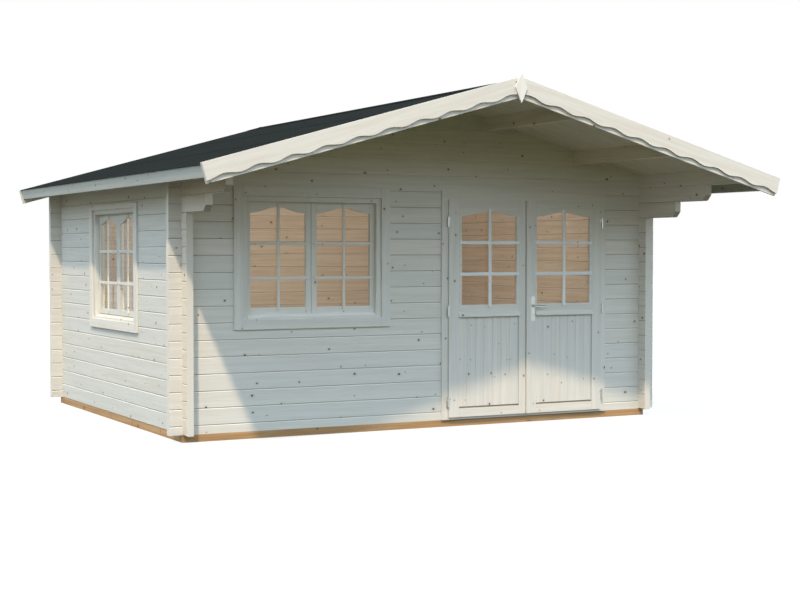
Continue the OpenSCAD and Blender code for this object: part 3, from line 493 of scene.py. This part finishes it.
# Axes of a board's length and width; its thickness goes the third way
def laid(length, width, at):
    a, b = Vector(length), Vector(width)
    turn = Matrix((a, b, a.cross(b))).transposed().to_4x4()
    return Matrix.Translation(at) @ turn


def addBoard(bm, size, place, edge, steps=2):
    made = bmesh.ops.create_cube(bm, size=1.0)
    bmesh.ops.scale(bm, vec=size, verts=made["verts"])
    rim = list({e for v in made["verts"] for e in v.link_edges})
    bmesh.ops.bevel(bm, geom=rim, offset=edge, offset_type="OFFSET", segments=steps, profile=0.5,
                    affect="EDGES", material=-1, clamp_overlap=True)
    settle(bm, place)


along, upward, inward = Vector((1, 0, 0)), Vector((0, 0, 1)), Vector((0, 1, 0))
frontWindowLo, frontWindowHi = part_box("front_window_casing")
leftWindowLo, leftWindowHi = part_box("left_window_casing")
windowUnits = {
    "front": Matrix.Translation(((frontWindowLo.x + frontWindowHi.x) / 2, house["front"], frontWindowLo.z)),
    "left": Matrix.Translation((-house["side"], (leftWindowLo.y + leftWindowHi.y) / 2, leftWindowLo.z))
    @ Matrix.Rotation(-math.pi / 2, 4, "Z"),
}  # each unit's frame: middle, wall's face, foot of the casing

# Casing boards round each window
casing = {"width": 0.082, "thick": 0.020, "edge": 0.003}
casingOpening = frontWindowHi.z - frontWindowLo.z - 2 * casing["width"]
for wall, unit in windowUnits.items():
    bm = startPiece()
    half = (frontWindowHi.x - frontWindowLo.x) / 2
    lo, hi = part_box(wall + "_window_casing")
    tall = hi.z - lo.z
    top = tall - casing["width"] - casingOpening
    y = -casing["thick"] / 2
    size = (tall, casing["width"], casing["thick"])
    for side in (-1, 1):
        at = Vector((side * (half - casing["width"] / 2), y, tall / 2))
        addBoard(bm, size, unit @ laid(upward, -along, at), casing["edge"])
    span = 2 * (half - casing["width"])
    for z, width in ((casing["width"] / 2, casing["width"]), (tall - top / 2, top)):
        at = Vector((0, y, z))
        addBoard(bm, (span, width, casing["thick"]), unit @ laid(along, upward, at), casing["edge"])
    finishPiece(bm, wall + "WindowCasingBoards", "cabin", trimBoards,
                [wall + "_window_casing"])

# Glazing bars over the sashes, lapping onto stiles and rails; cross bars lie a little under the uprights
windowBars = {"width": 0.025, "thick": 0.011, "lap": 0.028, "edge": 0.003, "rise": (0.2375, 0.5215),
              "set": 0.045, "under": 0.001}
for wall, unit in windowUnits.items():
    bm = startPiece()
    glassLo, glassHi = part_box(wall + "_window_glass")
    axis = 0 if wall == "front" else 1
    outer = (glassHi[axis] - glassLo[axis]) / 2 - house["glassLap"]
    foot = glassLo.z + house["glassLap"] - unit.translation.z
    peak = glassHi.z - house["glassLap"] - unit.translation.z
    lap, thick, width = windowBars["lap"], windowBars["thick"], windowBars["width"]
    y = windowBars["set"] - thick / 2
    for side in (-1, 1):
        x = side * (house["sashStile"] + outer) / 2
        at = Vector((x, y, (foot + peak) / 2))
        size = (peak - foot + 2 * lap, width, thick)
        addBoard(bm, size, unit @ laid(upward, -along, at), windowBars["edge"])
        for rise in windowBars["rise"]:
            span = outer - house["sashStile"] + 2 * lap
            at = Vector((x, y + windowBars["under"], foot + rise))
            size = (span, width, thick - 2 * windowBars["under"])
            addBoard(bm, size, unit @ laid(along, upward, at), windowBars["edge"])
    finishPiece(bm, wall + "WindowBars", "cabin", trimBoards)

# Dark strips over and under the sashes: painted shade in the rebate
rebateShade = {"top": 0.005, "foot": {"front": 0.004, "left": 0.011}, "thick": 0.003, "short": 0.002,
          "edge": 0.0005}
for wall, unit in windowUnits.items():
    bm = startPiece()
    lo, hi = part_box(wall + "_window_sashes")
    axis = 0 if wall == "front" else 1
    span = hi[axis] - lo[axis] - rebateShade["short"]
    y = windowBars["set"] - rebateShade["thick"] / 2
    top, foot = rebateShade["top"], rebateShade["foot"][wall]
    for z, tall in ((hi.z - top / 2, top), (lo.z + foot / 2, foot)):
        at = Vector((0, y, z - unit.translation.z))
        addBoard(bm, (span, tall, rebateShade["thick"]), unit @ laid(along, upward, at), rebateShade["edge"], 1)
    finishPiece(bm, wall + "WindowRebateShade", "cabin", shadeStripBoards)
print("window pieces made")

# Doors: glazing bars, drip moulding on the middle rail, boards in the lower panel
doorBars = {"width": 0.030, "thick": 0.012, "lap": 0.022, "edge": 0.003, "rise": (0.265, 0.537),
            "under": 0.001}
drip = {"tall": 0.040, "proud": 0.016, "topProud": 0.0056, "lip": 0.010, "lap": 0.006, "down": 0.004,
        "edge": 0.0015}
panel = {"pitch": 0.086, "joint": 0.0006, "sideGap": 0.001, "narrowest": 0.010, "edge": 0.0035,
         "backing": 0.005, "gap": 0.012, "backingEdge": 0.0005}


def addDrip(bm, span, place):
    profile = ((0, 0), (drip["proud"], 0), (drip["proud"], drip["lip"]), (drip["topProud"], drip["tall"]),
               (0, drip["tall"]))
    ring = [bm.verts.new((-span / 2, rise, out)) for out, rise in profile]
    face = bm.faces.new(ring)
    sweep = bmesh.ops.extrude_face_region(bm, geom=[face])
    moved = [g for g in sweep["geom"] if isinstance(g, bmesh.types.BMVert)]
    bmesh.ops.translate(bm, vec=(span, 0, 0), verts=moved)
    rim = list({e for v in ring + moved for e in v.link_edges})
    bmesh.ops.bevel(bm, geom=rim, offset=drip["edge"], offset_type="OFFSET", segments=2, profile=0.5,
                    affect="EDGES", material=-1, clamp_overlap=True)
    settle(bm, place)


for hand in ("left", "right"):
    body = hand + "_door"
    glassLo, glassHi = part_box(hand + "_door_glass")
    panelLo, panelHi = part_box(hand + "_door_panel")
    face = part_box(hand + "_door_leaf")[0].y
    lap = house["glassLap"]
    x0, x1, foot, peak = glassLo.x + lap, glassHi.x - lap, glassLo.z + lap, glassHi.z - lap
    middle = (x0 + x1) / 2
    bm = startPiece()
    y = face - doorBars["thick"] / 2
    reach = doorBars["lap"]
    at = Vector((middle, y, (foot + peak) / 2))
    size = (peak - foot + 2 * reach, doorBars["width"], doorBars["thick"])
    addBoard(bm, size, laid(upward, -along, at), doorBars["edge"])
    for rise in doorBars["rise"]:
        at = Vector((middle, y + doorBars["under"], foot + rise))
        size = (x1 - x0 + 2 * reach, doorBars["width"], doorBars["thick"] - 2 * doorBars["under"])
        addBoard(bm, size, laid(along, upward, at), doorBars["edge"])
    finishPiece(bm, hand + "DoorBars", body, barBoards)
    bm = startPiece()
    railFoot = panelHi.z - lap - drip["down"]
    span = panelHi.x - panelLo.x - 2 * lap + 2 * drip["lap"]
    addDrip(bm, span, laid(along, upward, Vector(((panelLo.x + panelHi.x) / 2, face, railFoot))))
    finishPiece(bm, hand + "DoorDrip", body, trimBoards)
    # boards stop a little over the bottom rail, and a strip closes the gap; its dark tone is painted shade
    thick = panelHi.y - panelLo.y
    low = panelLo.z + lap + panel["gap"]
    bm = startPiece()
    at = Vector(((panelLo.x + panelHi.x) / 2, (panelLo.y + panelHi.y) / 2, (panelLo.z + low) / 2))
    size = (panelHi.x - panelLo.x, low - panelLo.z, panel["backing"])
    addBoard(bm, size, laid(along, upward, at), panel["backingEdge"], 1)
    finishPiece(bm, hand + "DoorPanelShadeBacking", body, shadeStripBoards)
    bm = startPiece()
    x = panelLo.x + panel["sideGap"]
    while x < panelHi.x - panel["narrowest"]:
        wide = min(panel["pitch"], panelHi.x - panel["sideGap"] - x)
        at = Vector((x + wide / 2, (panelLo.y + panelHi.y) / 2, (low + panelHi.z) / 2))
        size = (panelHi.z - low, wide - panel["joint"], thick)
        addBoard(bm, size, laid(upward, -along, at), panel["edge"])
        x += panel["pitch"]
    finishPiece(bm, hand + "DoorPanelBoards", body, trimBoards, [hand + "_door_panel"])

# Slim seals where the leaves meet
seal = {"left": 0.0020, "right": 0.0010, "deep": 0.028, "back": 0.002, "short": 0.010, "edge": 0.0004}
for hand, end, outward in (("left", 1, 1), ("right", 0, -1)):
    thick = seal[hand]
    lo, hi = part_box(hand + "_door_leaf")
    bm = startPiece()
    x = (lo, hi)[end].x + outward * thick / 2
    at = Vector((x, lo.y + seal["back"] + seal["deep"] / 2, (lo.z + hi.z) / 2))
    size = (hi.z - lo.z - 2 * seal["short"], seal["deep"], thick)
    addBoard(bm, size, laid(upward, inward, at), seal["edge"], 1)
    finishPiece(bm, hand + "DoorSeal", hand + "_door", trimBoards)
print("door pieces made")


# Turned piece: radius and height spun about an upright axis
def addTurned(bm, profile, place, steps=24):
    settled = bm.verts.layers.int["settled"]
    points = [bm.verts.new((radius, 0, tall)) for radius, tall in profile]
    edges = [bm.edges.new(pair) for pair in zip(points, points[1:])]
    bmesh.ops.spin(bm, geom=points + edges, cent=(0, 0, 0), axis=(0, 0, 1), angle=2 * math.pi, steps=steps,
                   use_merge=True)
    bmesh.ops.remove_doubles(bm, verts=[v for v in bm.verts if not v[settled]], dist=1e-6)
    settle(bm, place)


# Screw with a domed head and one slot, in shares of the head's radius and height
screwHead = {"slope": 0.35, "slotHalf": 0.12, "slotDeep": 0.7}


def addScrew(bm, place, radius, tall):
    settled = bm.verts.layers.int["settled"]
    rim = bmesh.ops.create_circle(bm, cap_ends=True, segments=20, radius=radius)["verts"]
    bmesh.ops.inset_region(bm, faces=rim[0].link_faces[:], thickness=radius * screwHead["slope"], depth=tall)
    fresh = [v for v in bm.verts if not v[settled]]
    parts = fresh + list({e for v in fresh for e in v.link_edges})
    parts += list({f for v in fresh for f in v.link_faces})
    half = radius * screwHead["slotHalf"]
    for side in (-1, 1):
        cut = bmesh.ops.bisect_plane(bm, geom=parts, plane_co=(side * half, 0, 0), plane_no=(1, 0, 0))
        parts = cut["geom"]
    slot = [f for f in parts if isinstance(f, bmesh.types.BMFace) and abs(f.calc_center_median().x) < half
            and f.normal.z > 0.9]
    bmesh.ops.inset_region(bm, faces=slot, thickness=0.0, depth=-tall * screwHead["slotDeep"])
    settle(bm, place)


# Round bar through circles that stand square to its path
def addTube(bm, stations, steps=20):
    loops = []
    for at, heading, radius in stations:
        turn = Vector(heading).to_track_quat("Z", "Y").to_matrix().to_4x4()
        place = Matrix.Translation(at) @ turn
        ring = bmesh.ops.create_circle(bm, segments=steps, radius=radius, matrix=place)
        loops.append(list({e for v in ring["verts"] for e in v.link_edges}))
    for near, far in zip(loops, loops[1:]):
        bmesh.ops.bridge_loops(bm, edges=near + far)
    for end in (loops[0], loops[-1]):
        bmesh.ops.edgeloop_fill(bm, edges=end)


# Lever: neck, bent elbow and a grip that thins to a rounded end, on both faces of the door
# rounding: how far short of the end, and the share of the thin radius there
lever = {"neck": 0.0074, "bend": 0.017, "turns": 8, "inset": 0.008, "full": (0.040, 0.085), "end": 0.119,
         "grip": (0.0088, 0.0074), "rounding": ((0.006, 1.0), (0.002, 0.75), (0.0, 0.3))}
collar = {"radius": 0.0135, "topRadius": 0.012, "rise": (0.003, 0.005, 0.006), "off": 0.0003}
leverLo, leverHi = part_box("door_lever")
plateLo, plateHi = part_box("door_handle_plates")
leafLo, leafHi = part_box("right_door_leaf")
spindle = Vector(((plateLo.x + plateHi.x) / 2, (leafLo.y + leafHi.y) / 2, (leverLo.z + leverHi.z) / 2))
bm = startPiece()
for face in (-1, 1):
    out = (leverHi.y - leverLo.y) / 2 - lever["inset"]
    bend = lever["bend"]
    stations = [((0, 0, 0), (0, face, 0), lever["neck"])]
    for i in range(lever["turns"] + 1):
        t = math.pi / 2 * i / lever["turns"]
        at = (bend - bend * math.cos(t), face * (out - bend + bend * math.sin(t)), 0)
        stations.append((at, (math.sin(t), face * math.cos(t), 0), lever["neck"]))
    thick, thin = lever["grip"]
    grip = [(x, thick) for x in lever["full"]]
    grip += [(lever["end"] - short, thin * share) for short, share in lever["rounding"]]
    for x, radius in grip:
        stations.append(((x, face * out, 0), (1, 0, 0), radius))
    addTube(bm, stations)
    settle(bm, Matrix.Translation(spindle))
    foot = (plateHi.y - plateLo.y) / 2 + collar["off"]
    rim, shoulder, top = collar["rise"]
    profile = [(lever["neck"], 0.0), (collar["radius"], 0.0), (collar["radius"], rim),
               (collar["topRadius"], shoulder), (lever["neck"], top)]
    turn = Matrix.Rotation(face * -math.pi / 2, 4, "X")
    addTurned(bm, profile, Matrix.Translation(spindle + Vector((0, face * foot, 0))) @ turn)
piece = finishPiece(bm, "bentLever", "lever", nickel, ["door_lever"])
piece.data.shade_smooth()

# Screws in the plates, and the lock's barrel in the keyhole
plateScrew = {"inset": 0.012, "radius": 0.004, "tall": 0.0012}
barrel = {"rise": 0.060, "radius": 0.0047, "tall": 0.003, "sunk": 0.009}
bm = startPiece()
for face, y in ((-1, plateLo.y), (1, plateHi.y)):
    turn = Matrix.Rotation(face * -math.pi / 2, 4, "X")
    for z in (plateLo.z + plateScrew["inset"], plateHi.z - plateScrew["inset"]):
        addScrew(bm, Matrix.Translation((spindle.x, y, z)) @ turn, plateScrew["radius"], plateScrew["tall"])
    at = (spindle.x, y - face * barrel["sunk"], plateLo.z + barrel["rise"])
    addScrew(bm, Matrix.Translation(at) @ turn, barrel["radius"], barrel["tall"])
finishPiece(bm, "plateScrewsAndBarrel", "right_door", nickel)

# Hinges: rounded caps on the barrels, a screw in each flap
hinge = {"rise": (0.218, 0.999, 1.7655), "barrel": 0.044, "radius": 0.008, "flap": 0.007, "flapThick": 0.002,
         "screw": (0.0034, 0.001),
         "dome": ((0.0078, 0.0), (0.0074, 0.002), (0.0056, 0.0042), (0.003, 0.0054), (0.0, 0.0058))}
pinDomes = startPiece()
for hand, side in (("left", 0), ("right", 1)):
    knuckleLo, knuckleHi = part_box(hand + "_door_knuckles")
    inner = 1 - 2 * side
    x = (knuckleLo.x, knuckleHi.x)[side] + inner * hinge["radius"]
    y = knuckleLo.y + hinge["radius"]
    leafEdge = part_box(hand + "_door_leaf")[side].x
    bm = startPiece()
    for z in hinge["rise"]:
        addTurned(bm, hinge["dome"], Matrix.Translation((x, y, z + hinge["barrel"])))
        under = Matrix.Translation((x, y, z - hinge["barrel"])) @ Matrix.Rotation(math.pi, 4, "X")
        addTurned(pinDomes, hinge["dome"], under)
        at = (leafEdge + inner * hinge["flap"], leafLo.y - hinge["flapThick"], z + hinge["barrel"] / 2)
        addScrew(bm, Matrix.Translation(at) @ Matrix.Rotation(math.pi / 2, 4, "X"), *hinge["screw"])
    finishPiece(bm, hand + "HingeCapsAndScrews", hand + "_door", nickel)
finishPiece(pinDomes, "hingePinCaps", "cabin", nickel)
print("hardware made")


# Place of a slope: down the fall, along the house, off the roof
def slopePlace(side, ridge):
    return laid((side * fallCos, 0, -fallSin), (0, side, 0), ridge)


# Roof boards from ridge to eave, with V joints below
roofBoards = {"pitch": 0.096, "thick": 0.0186, "edge": 0.004, "joint": 0.0006, "off": 0.0003}
boardsLo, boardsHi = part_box("roof_boards_right")
ridgeUnder = boardsHi.z - house["roofBoard"] / fallCos
for side, label in ((-1, "left"), (1, "right")):
    bm = startPiece()
    span = (boardsHi.x - roofBoards["thick"] * fallSin) / fallCos
    count = round((boardsHi.y - boardsLo.y) / roofBoards["pitch"])
    step = (boardsHi.y - boardsLo.y) / count
    slope = slopePlace(side, Vector((0, 0, ridgeUnder)))
    for i in range(count):
        y = boardsLo.y + (i + 0.5) * step
        rise = roofBoards["off"] + roofBoards["thick"] / 2
        at = slope @ Matrix.Translation((span / 2, side * y, rise))
        size = (span, step - roofBoards["joint"], roofBoards["thick"])
        addBoard(bm, size, at, roofBoards["edge"], 1)
    finishPiece(bm, label + "RoofBoardRow", "cabin", soffitBoards, ["roof_boards_" + label])

# Eave boards square to the fall, and back bargeboards level with the roof for the felt to lap over
verge = {"eaveThick": 0.020, "bargeTop": 0.0225, "cadTop": 0.038, "bargeWidth": 0.153, "edge": 0.002}
eaveLo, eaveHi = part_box("eave_boards")
bargeLo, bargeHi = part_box("back_bargeboard_right")
eavePair = startPiece()
for side, label in ((-1, "left"), (1, "right")):
    slope = slopePlace(side, Vector((0, 0, ridgeUnder)))
    top = house["roofBoard"]
    reach = (eaveHi.x - top * fallSin) / fallCos
    foot = (eaveLo.z - ridgeUnder + reach * fallSin) / fallCos
    at = Vector((reach - verge["eaveThick"] / 2, side * (eaveLo.y + eaveHi.y) / 2, (top + foot) / 2))
    size = (eaveHi.y - eaveLo.y, top - foot, verge["eaveThick"])
    addBoard(eavePair, size, slope @ laid(inward, upward, at), verge["edge"])
    bm = startPiece()
    tip = (bargeHi.x - verge["cadTop"] * fallSin) / fallCos
    foot = verge["cadTop"] - verge["bargeWidth"]
    past = verge["bargeWidth"]  # the board starts beyond the ridge and is mitred there
    at = Vector(((tip - past) / 2, side * (bargeLo.y + bargeHi.y) / 2, (verge["bargeTop"] + foot) / 2))
    size = (tip + past, verge["bargeTop"] - foot, bargeHi.y - bargeLo.y)
    addBoard(bm, size, slope @ laid(along, upward, at), verge["edge"])
    mitre = bmesh.ops.bisect_plane(bm, geom=bm.verts[:] + bm.edges[:] + bm.faces[:], plane_co=(0, 0, 0),
                                   plane_no=(side, 0, 0), clear_inner=True)
    bmesh.ops.edgeloop_fill(bm, edges=[g for g in mitre["geom_cut"] if isinstance(g, bmesh.types.BMEdge)])
    finishPiece(bm, label + "BackBargeboard", "cabin", bargeBoards,
                ["back_bargeboard_" + label])
finishPiece(eavePair, "eaveBoardPair", "cabin", eaveBoards, ["eave_boards"])

# Felt in courses along the eaves, each lapped over the one below, and a strip over the ridge
# over: past the back edge; flap: folded down there; past: beyond the ridge; cap: half the ridge strip
felt = {"thick": 0.0014, "cadThick": 0.004, "off": 0.0004, "courses": 3, "lap": 0.10, "ramp": 0.03,
        "wave": 0.0010, "waves": (3, 2.2), "rows": 48, "over": 0.0215, "flap": 0.030, "past": 0.012,
        "foldRise": 0.002, "cap": 0.16, "capRise": 0.0012, "crown": 0.02}
feltLo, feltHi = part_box("roof_felt_right")


def addSheet(bm, profile, y0, y1, place):
    row = [bm.verts.new((s, y0, h)) for s, h in profile]
    edges = [bm.edges.new(pair) for pair in zip(row, row[1:])]
    sweep = bmesh.ops.extrude_edge_only(bm, edges=edges)["geom"]
    moved = [g for g in sweep if isinstance(g, bmesh.types.BMVert)]
    bmesh.ops.translate(bm, vec=(0, y1 - y0, 0), verts=moved)
    settled = bm.verts.layers.int["settled"]
    runs = [e for e in bm.edges if not e.verts[0][settled] and abs(e.verts[0].co.y - e.verts[1].co.y) > 0.1]
    bmesh.ops.subdivide_edges(bm, edges=runs, cuts=felt["rows"])
    for v in bm.verts:
        if not v[settled]:
            ripple = noise.noise((v.co.x * felt["waves"][0], v.co.y * felt["waves"][1], 0.0))
            v.co.z += felt["wave"] * (0.5 + 0.5 * ripple)
    faces = [f for f in bm.faces if not f.verts[0][settled]]
    bmesh.ops.recalc_face_normals(bm, faces=faces)
    if sum(f.normal.z for f in faces) > 0:
        bmesh.ops.reverse_faces(bm, faces=faces)
    bmesh.ops.solidify(bm, geom=faces, thickness=felt["thick"])
    settle(bm, place)


for side, label in ((-1, "left"), (1, "right")):
    bm = startPiece()
    slope = slopePlace(side, Vector((0, 0, feltHi.z - felt["cadThick"] / fallCos + felt["off"])))
    whole = feltHi.x / fallCos
    step = whole / felt["courses"]
    ends = sorted((side * feltLo.y, side * feltHi.y))
    for i in range(felt["courses"]):
        s0, s1 = i * step, (i + 1) * step
        up = felt["thick"] + felt["off"]
        last = i == felt["courses"] - 1
        lapped = [(s1, 0.0)] if last else [(s1 - felt["ramp"], 0.0), (s1, up), (s1 + felt["lap"], up)]
        addSheet(bm, [(s0, 0.0), *lapped], ends[0], ends[1], slope)
    # the felt is dressed over the top of the back bargeboard
    backY, rise = feltHi.y + felt["over"], felt["foldRise"]
    folded = [(feltHi.y - felt["ramp"], rise), (backY, rise), (backY, rise - felt["flap"])]
    down = slope.col[0].to_3d()
    backEdge = laid(Vector((0, -side, 0)), down, slope.translation)
    addSheet(bm, [(-side * y, h) for y, h in folded], -felt["past"], whole, backEdge)
    finishPiece(bm, label + "FeltCourses", "cabin", feltSlate, ["roof_felt_" + label])
bm = startPiece()
fall = math.tan(house["pitch"])
capAcross = (-felt["cap"], -felt["crown"], 0.0, felt["crown"], felt["cap"])
capProfile = [(x, felt["capRise"] - abs(x) * fall) for x in capAcross]
addSheet(bm, capProfile, feltLo.y, feltHi.y + felt["over"], Matrix.Translation((0, 0, feltHi.z)))
finishPiece(bm, "ridgeFeltStrip", "cabin", feltSlate)
print("roof pieces made")

# Floor boards across the joists, with a short row each side of the door frame
floorBoards = {"pitch": 0.091, "edge": 0.0015, "joint": 0.0008, "flange": 0.020, "gap": 0.005}
floorLo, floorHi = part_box("floor_boards")
doorLo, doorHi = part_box("door_jambs")
gap = floorBoards["gap"]
rowFront = house["front"] + house["logThick"] + floorBoards["flange"] + gap  # past the door's inner flange
bm = startPiece()
thick = floorHi.z - floorLo.z
z = (floorLo.z + floorHi.z) / 2
for x0, x1 in ((floorLo.x, doorLo.x - gap), (doorHi.x + gap, floorHi.x)):
    at = Vector(((x0 + x1) / 2, (floorLo.y + rowFront) / 2, z))
    addBoard(bm, (x1 - x0, rowFront - floorLo.y, thick), laid(along, inward, at), floorBoards["edge"])
count = round((floorHi.y - rowFront) / floorBoards["pitch"])
step = (floorHi.y - rowFront) / count
for i in range(count):
    at = Vector(((floorLo.x + floorHi.x) / 2, rowFront + (i + 0.5) * step, z))
    size = (floorHi.x - floorLo.x, step - floorBoards["joint"], thick)
    addBoard(bm, size, laid(along, inward, at), floorBoards["edge"])
finishPiece(bm, "floorBoardRows", "cabin", pineBoards, ["floor_boards"])
print("floor made")

# Camera where the photograph was taken from
view = {"place": (-6.274, -12.5975, 1.5235), "tilt": 1.712, "turn": -27.623, "lens": 68.51,
        "sensor": 36}
cameraData = bpy.data.cameras.new("camera")
cameraData.lens = view["lens"]
cameraData.sensor_width = view["sensor"]
camera = bpy.data.objects.new("camera", cameraData)
camera.location = view["place"]
camera.rotation_euler = (math.radians(90 - view["tilt"]), 0, math.radians(view["turn"]))
scene.collection.objects.link(camera)
scene.camera = camera

# Soft key light from high on the front left, and a soft lamp in the room
light = {"fall": (0.465, 0.634, -1.0), "strength": 3.09, "softness": 2.1, "tone": "#FFE6C8"}
lamp = {"power": 40, "size": (3.2, 0.5), "place": (-0.4, house["front"] + 0.5, 2.05), "tilt": 55}
keyData = bpy.data.lights.new("key", "SUN")
keyData.energy = light["strength"]
keyData.angle = math.radians(light["softness"])
keyData.color = linear(light["tone"])[:3]
key = bpy.data.objects.new("key", keyData)
key.rotation_euler = Vector(light["fall"]).to_track_quat("-Z", "Y").to_euler()
scene.collection.objects.link(key)
roomData = bpy.data.lights.new("roomLamp", "AREA")
roomData.energy = lamp["power"]
roomData.shape = "RECTANGLE"
roomData.size, roomData.size_y = lamp["size"]
roomLamp = bpy.data.objects.new("roomLamp", roomData)
roomLamp.location = lamp["place"]
roomLamp.rotation_euler = (math.radians(lamp["tilt"]), 0, 0)
roomLamp.visible_camera = False
roomLamp.visible_glossy = False
roomLamp.visible_transmission = False
scene.collection.objects.link(roomLamp)

# Pale sky, warmer and dimmer near the ground; white to the camera and through glass
sky = {"high": "#D7ECFF", "highStrength": 2.06, "low": "#EAEBD1", "lowStrength": 0.74, "edge": (0.10, 0.31),
       "mirrored": "#F7FDFF"}
world = bpy.data.worlds.new("paleSky")
scene.world = world
world.use_nodes = True
world.node_tree.nodes.clear()
rays = addNode(world, "LightPath", {}).node.outputs
eye, pane = rays["Is Camera Ray"], rays["Is Transmission Ray"]
seen = addNode(world, "Math", {0: eye, 1: pane}, operation="MAXIMUM")
white = addNode(world, "Background", {"Color": linear("#FFFFFF"), "Strength": 1.0})
skyAt = addNode(world, "SeparateXYZ", {0: addNode(world, "TexCoord", {}, "Generated")}).node.outputs
# what metal and glass mirror is bright in front and dim behind
behind = addNode(world, "MapRange", {0: skyAt[1], 1: -0.3, 2: 0.5, 3: 0.9, 4: 0.2})
mirrored = addNode(world, "Background", {"Color": linear(sky["mirrored"]), "Strength": behind})
low, high = sky["edge"]
height = addNode(world, "MapRange", {0: skyAt[2], 1: low, 2: high}, interpolation_type="SMOOTHSTEP")
lowSky = addNode(world, "Background", {"Color": linear(sky["low"]), "Strength": sky["lowStrength"]})
highSky = addNode(world, "Background", {"Color": linear(sky["high"]), "Strength": sky["highStrength"]})
skyDome = addNode(world, "MixShader", {0: height, 1: lowSky, 2: highSky})
skyDome = addNode(world, "MixShader", {0: rays["Is Glossy Ray"], 1: skyDome, 2: mirrored})
backdrop = addNode(world, "MixShader", {0: seen, 1: skyDome, 2: white})
addNode(world, "OutputWorld", {"Surface": backdrop}, None)

# Floor that is white to the camera and dark to the light it throws back, and keeps the shadow
studio = {"half": 60, "bounce": "#33311E", "seen": "#FBFBFA", "mirrorShare": 0.6, "glow": 0.8}
floorMesh = bpy.data.meshes.new("studioFloor")
bm = bmesh.new()
bmesh.ops.create_grid(bm, x_segments=1, y_segments=1, size=studio["half"])
bm.to_mesh(floorMesh)
bm.free()
floorMat = newMaterial("paleFloor", Roughness=0.9)
floorTree = floorMat.node_tree
rays = addNode(floorMat, "LightPath", {}).node.outputs
seen = addNode(floorMat, "Math", {0: rays["Is Glossy Ray"], 1: studio["mirrorShare"]}, operation="MULTIPLY")
seen = addNode(floorMat, "Math", {0: seen, 1: rays["Is Transmission Ray"]}, operation="MAXIMUM")
seen = addNode(floorMat, "Math", {0: seen, 1: rays["Is Camera Ray"]}, operation="MAXIMUM")
floorTones = {0: seen, 6: linear(studio["bounce"]), 7: linear(studio["seen"])}
floorTone = addNode(floorMat, "Mix", floorTones, 2, data_type="RGBA")
linkShader(floorMat, Base_Color=floorTone)
glow = addNode(floorMat, "Emission", {"Color": linear("#FFFFFF"), "Strength": 1.0})
share = addNode(floorMat, "Math", {0: seen, 1: studio["glow"]}, operation="MULTIPLY")
pale = addNode(floorMat, "MixShader", {0: share, 1: floorTree.nodes["Principled BSDF"].outputs[0], 2: glow})
floorTree.links.new(pale, floorTree.nodes["Material Output"].inputs["Surface"])
floorMesh.materials.append(floorMat)
studioFloor = bpy.data.objects.new("studioFloor", floorMesh)
scene.collection.objects.link(studioFloor)
scene.view_settings.view_transform = "Standard"
print("stage set")

print("pieces finished")
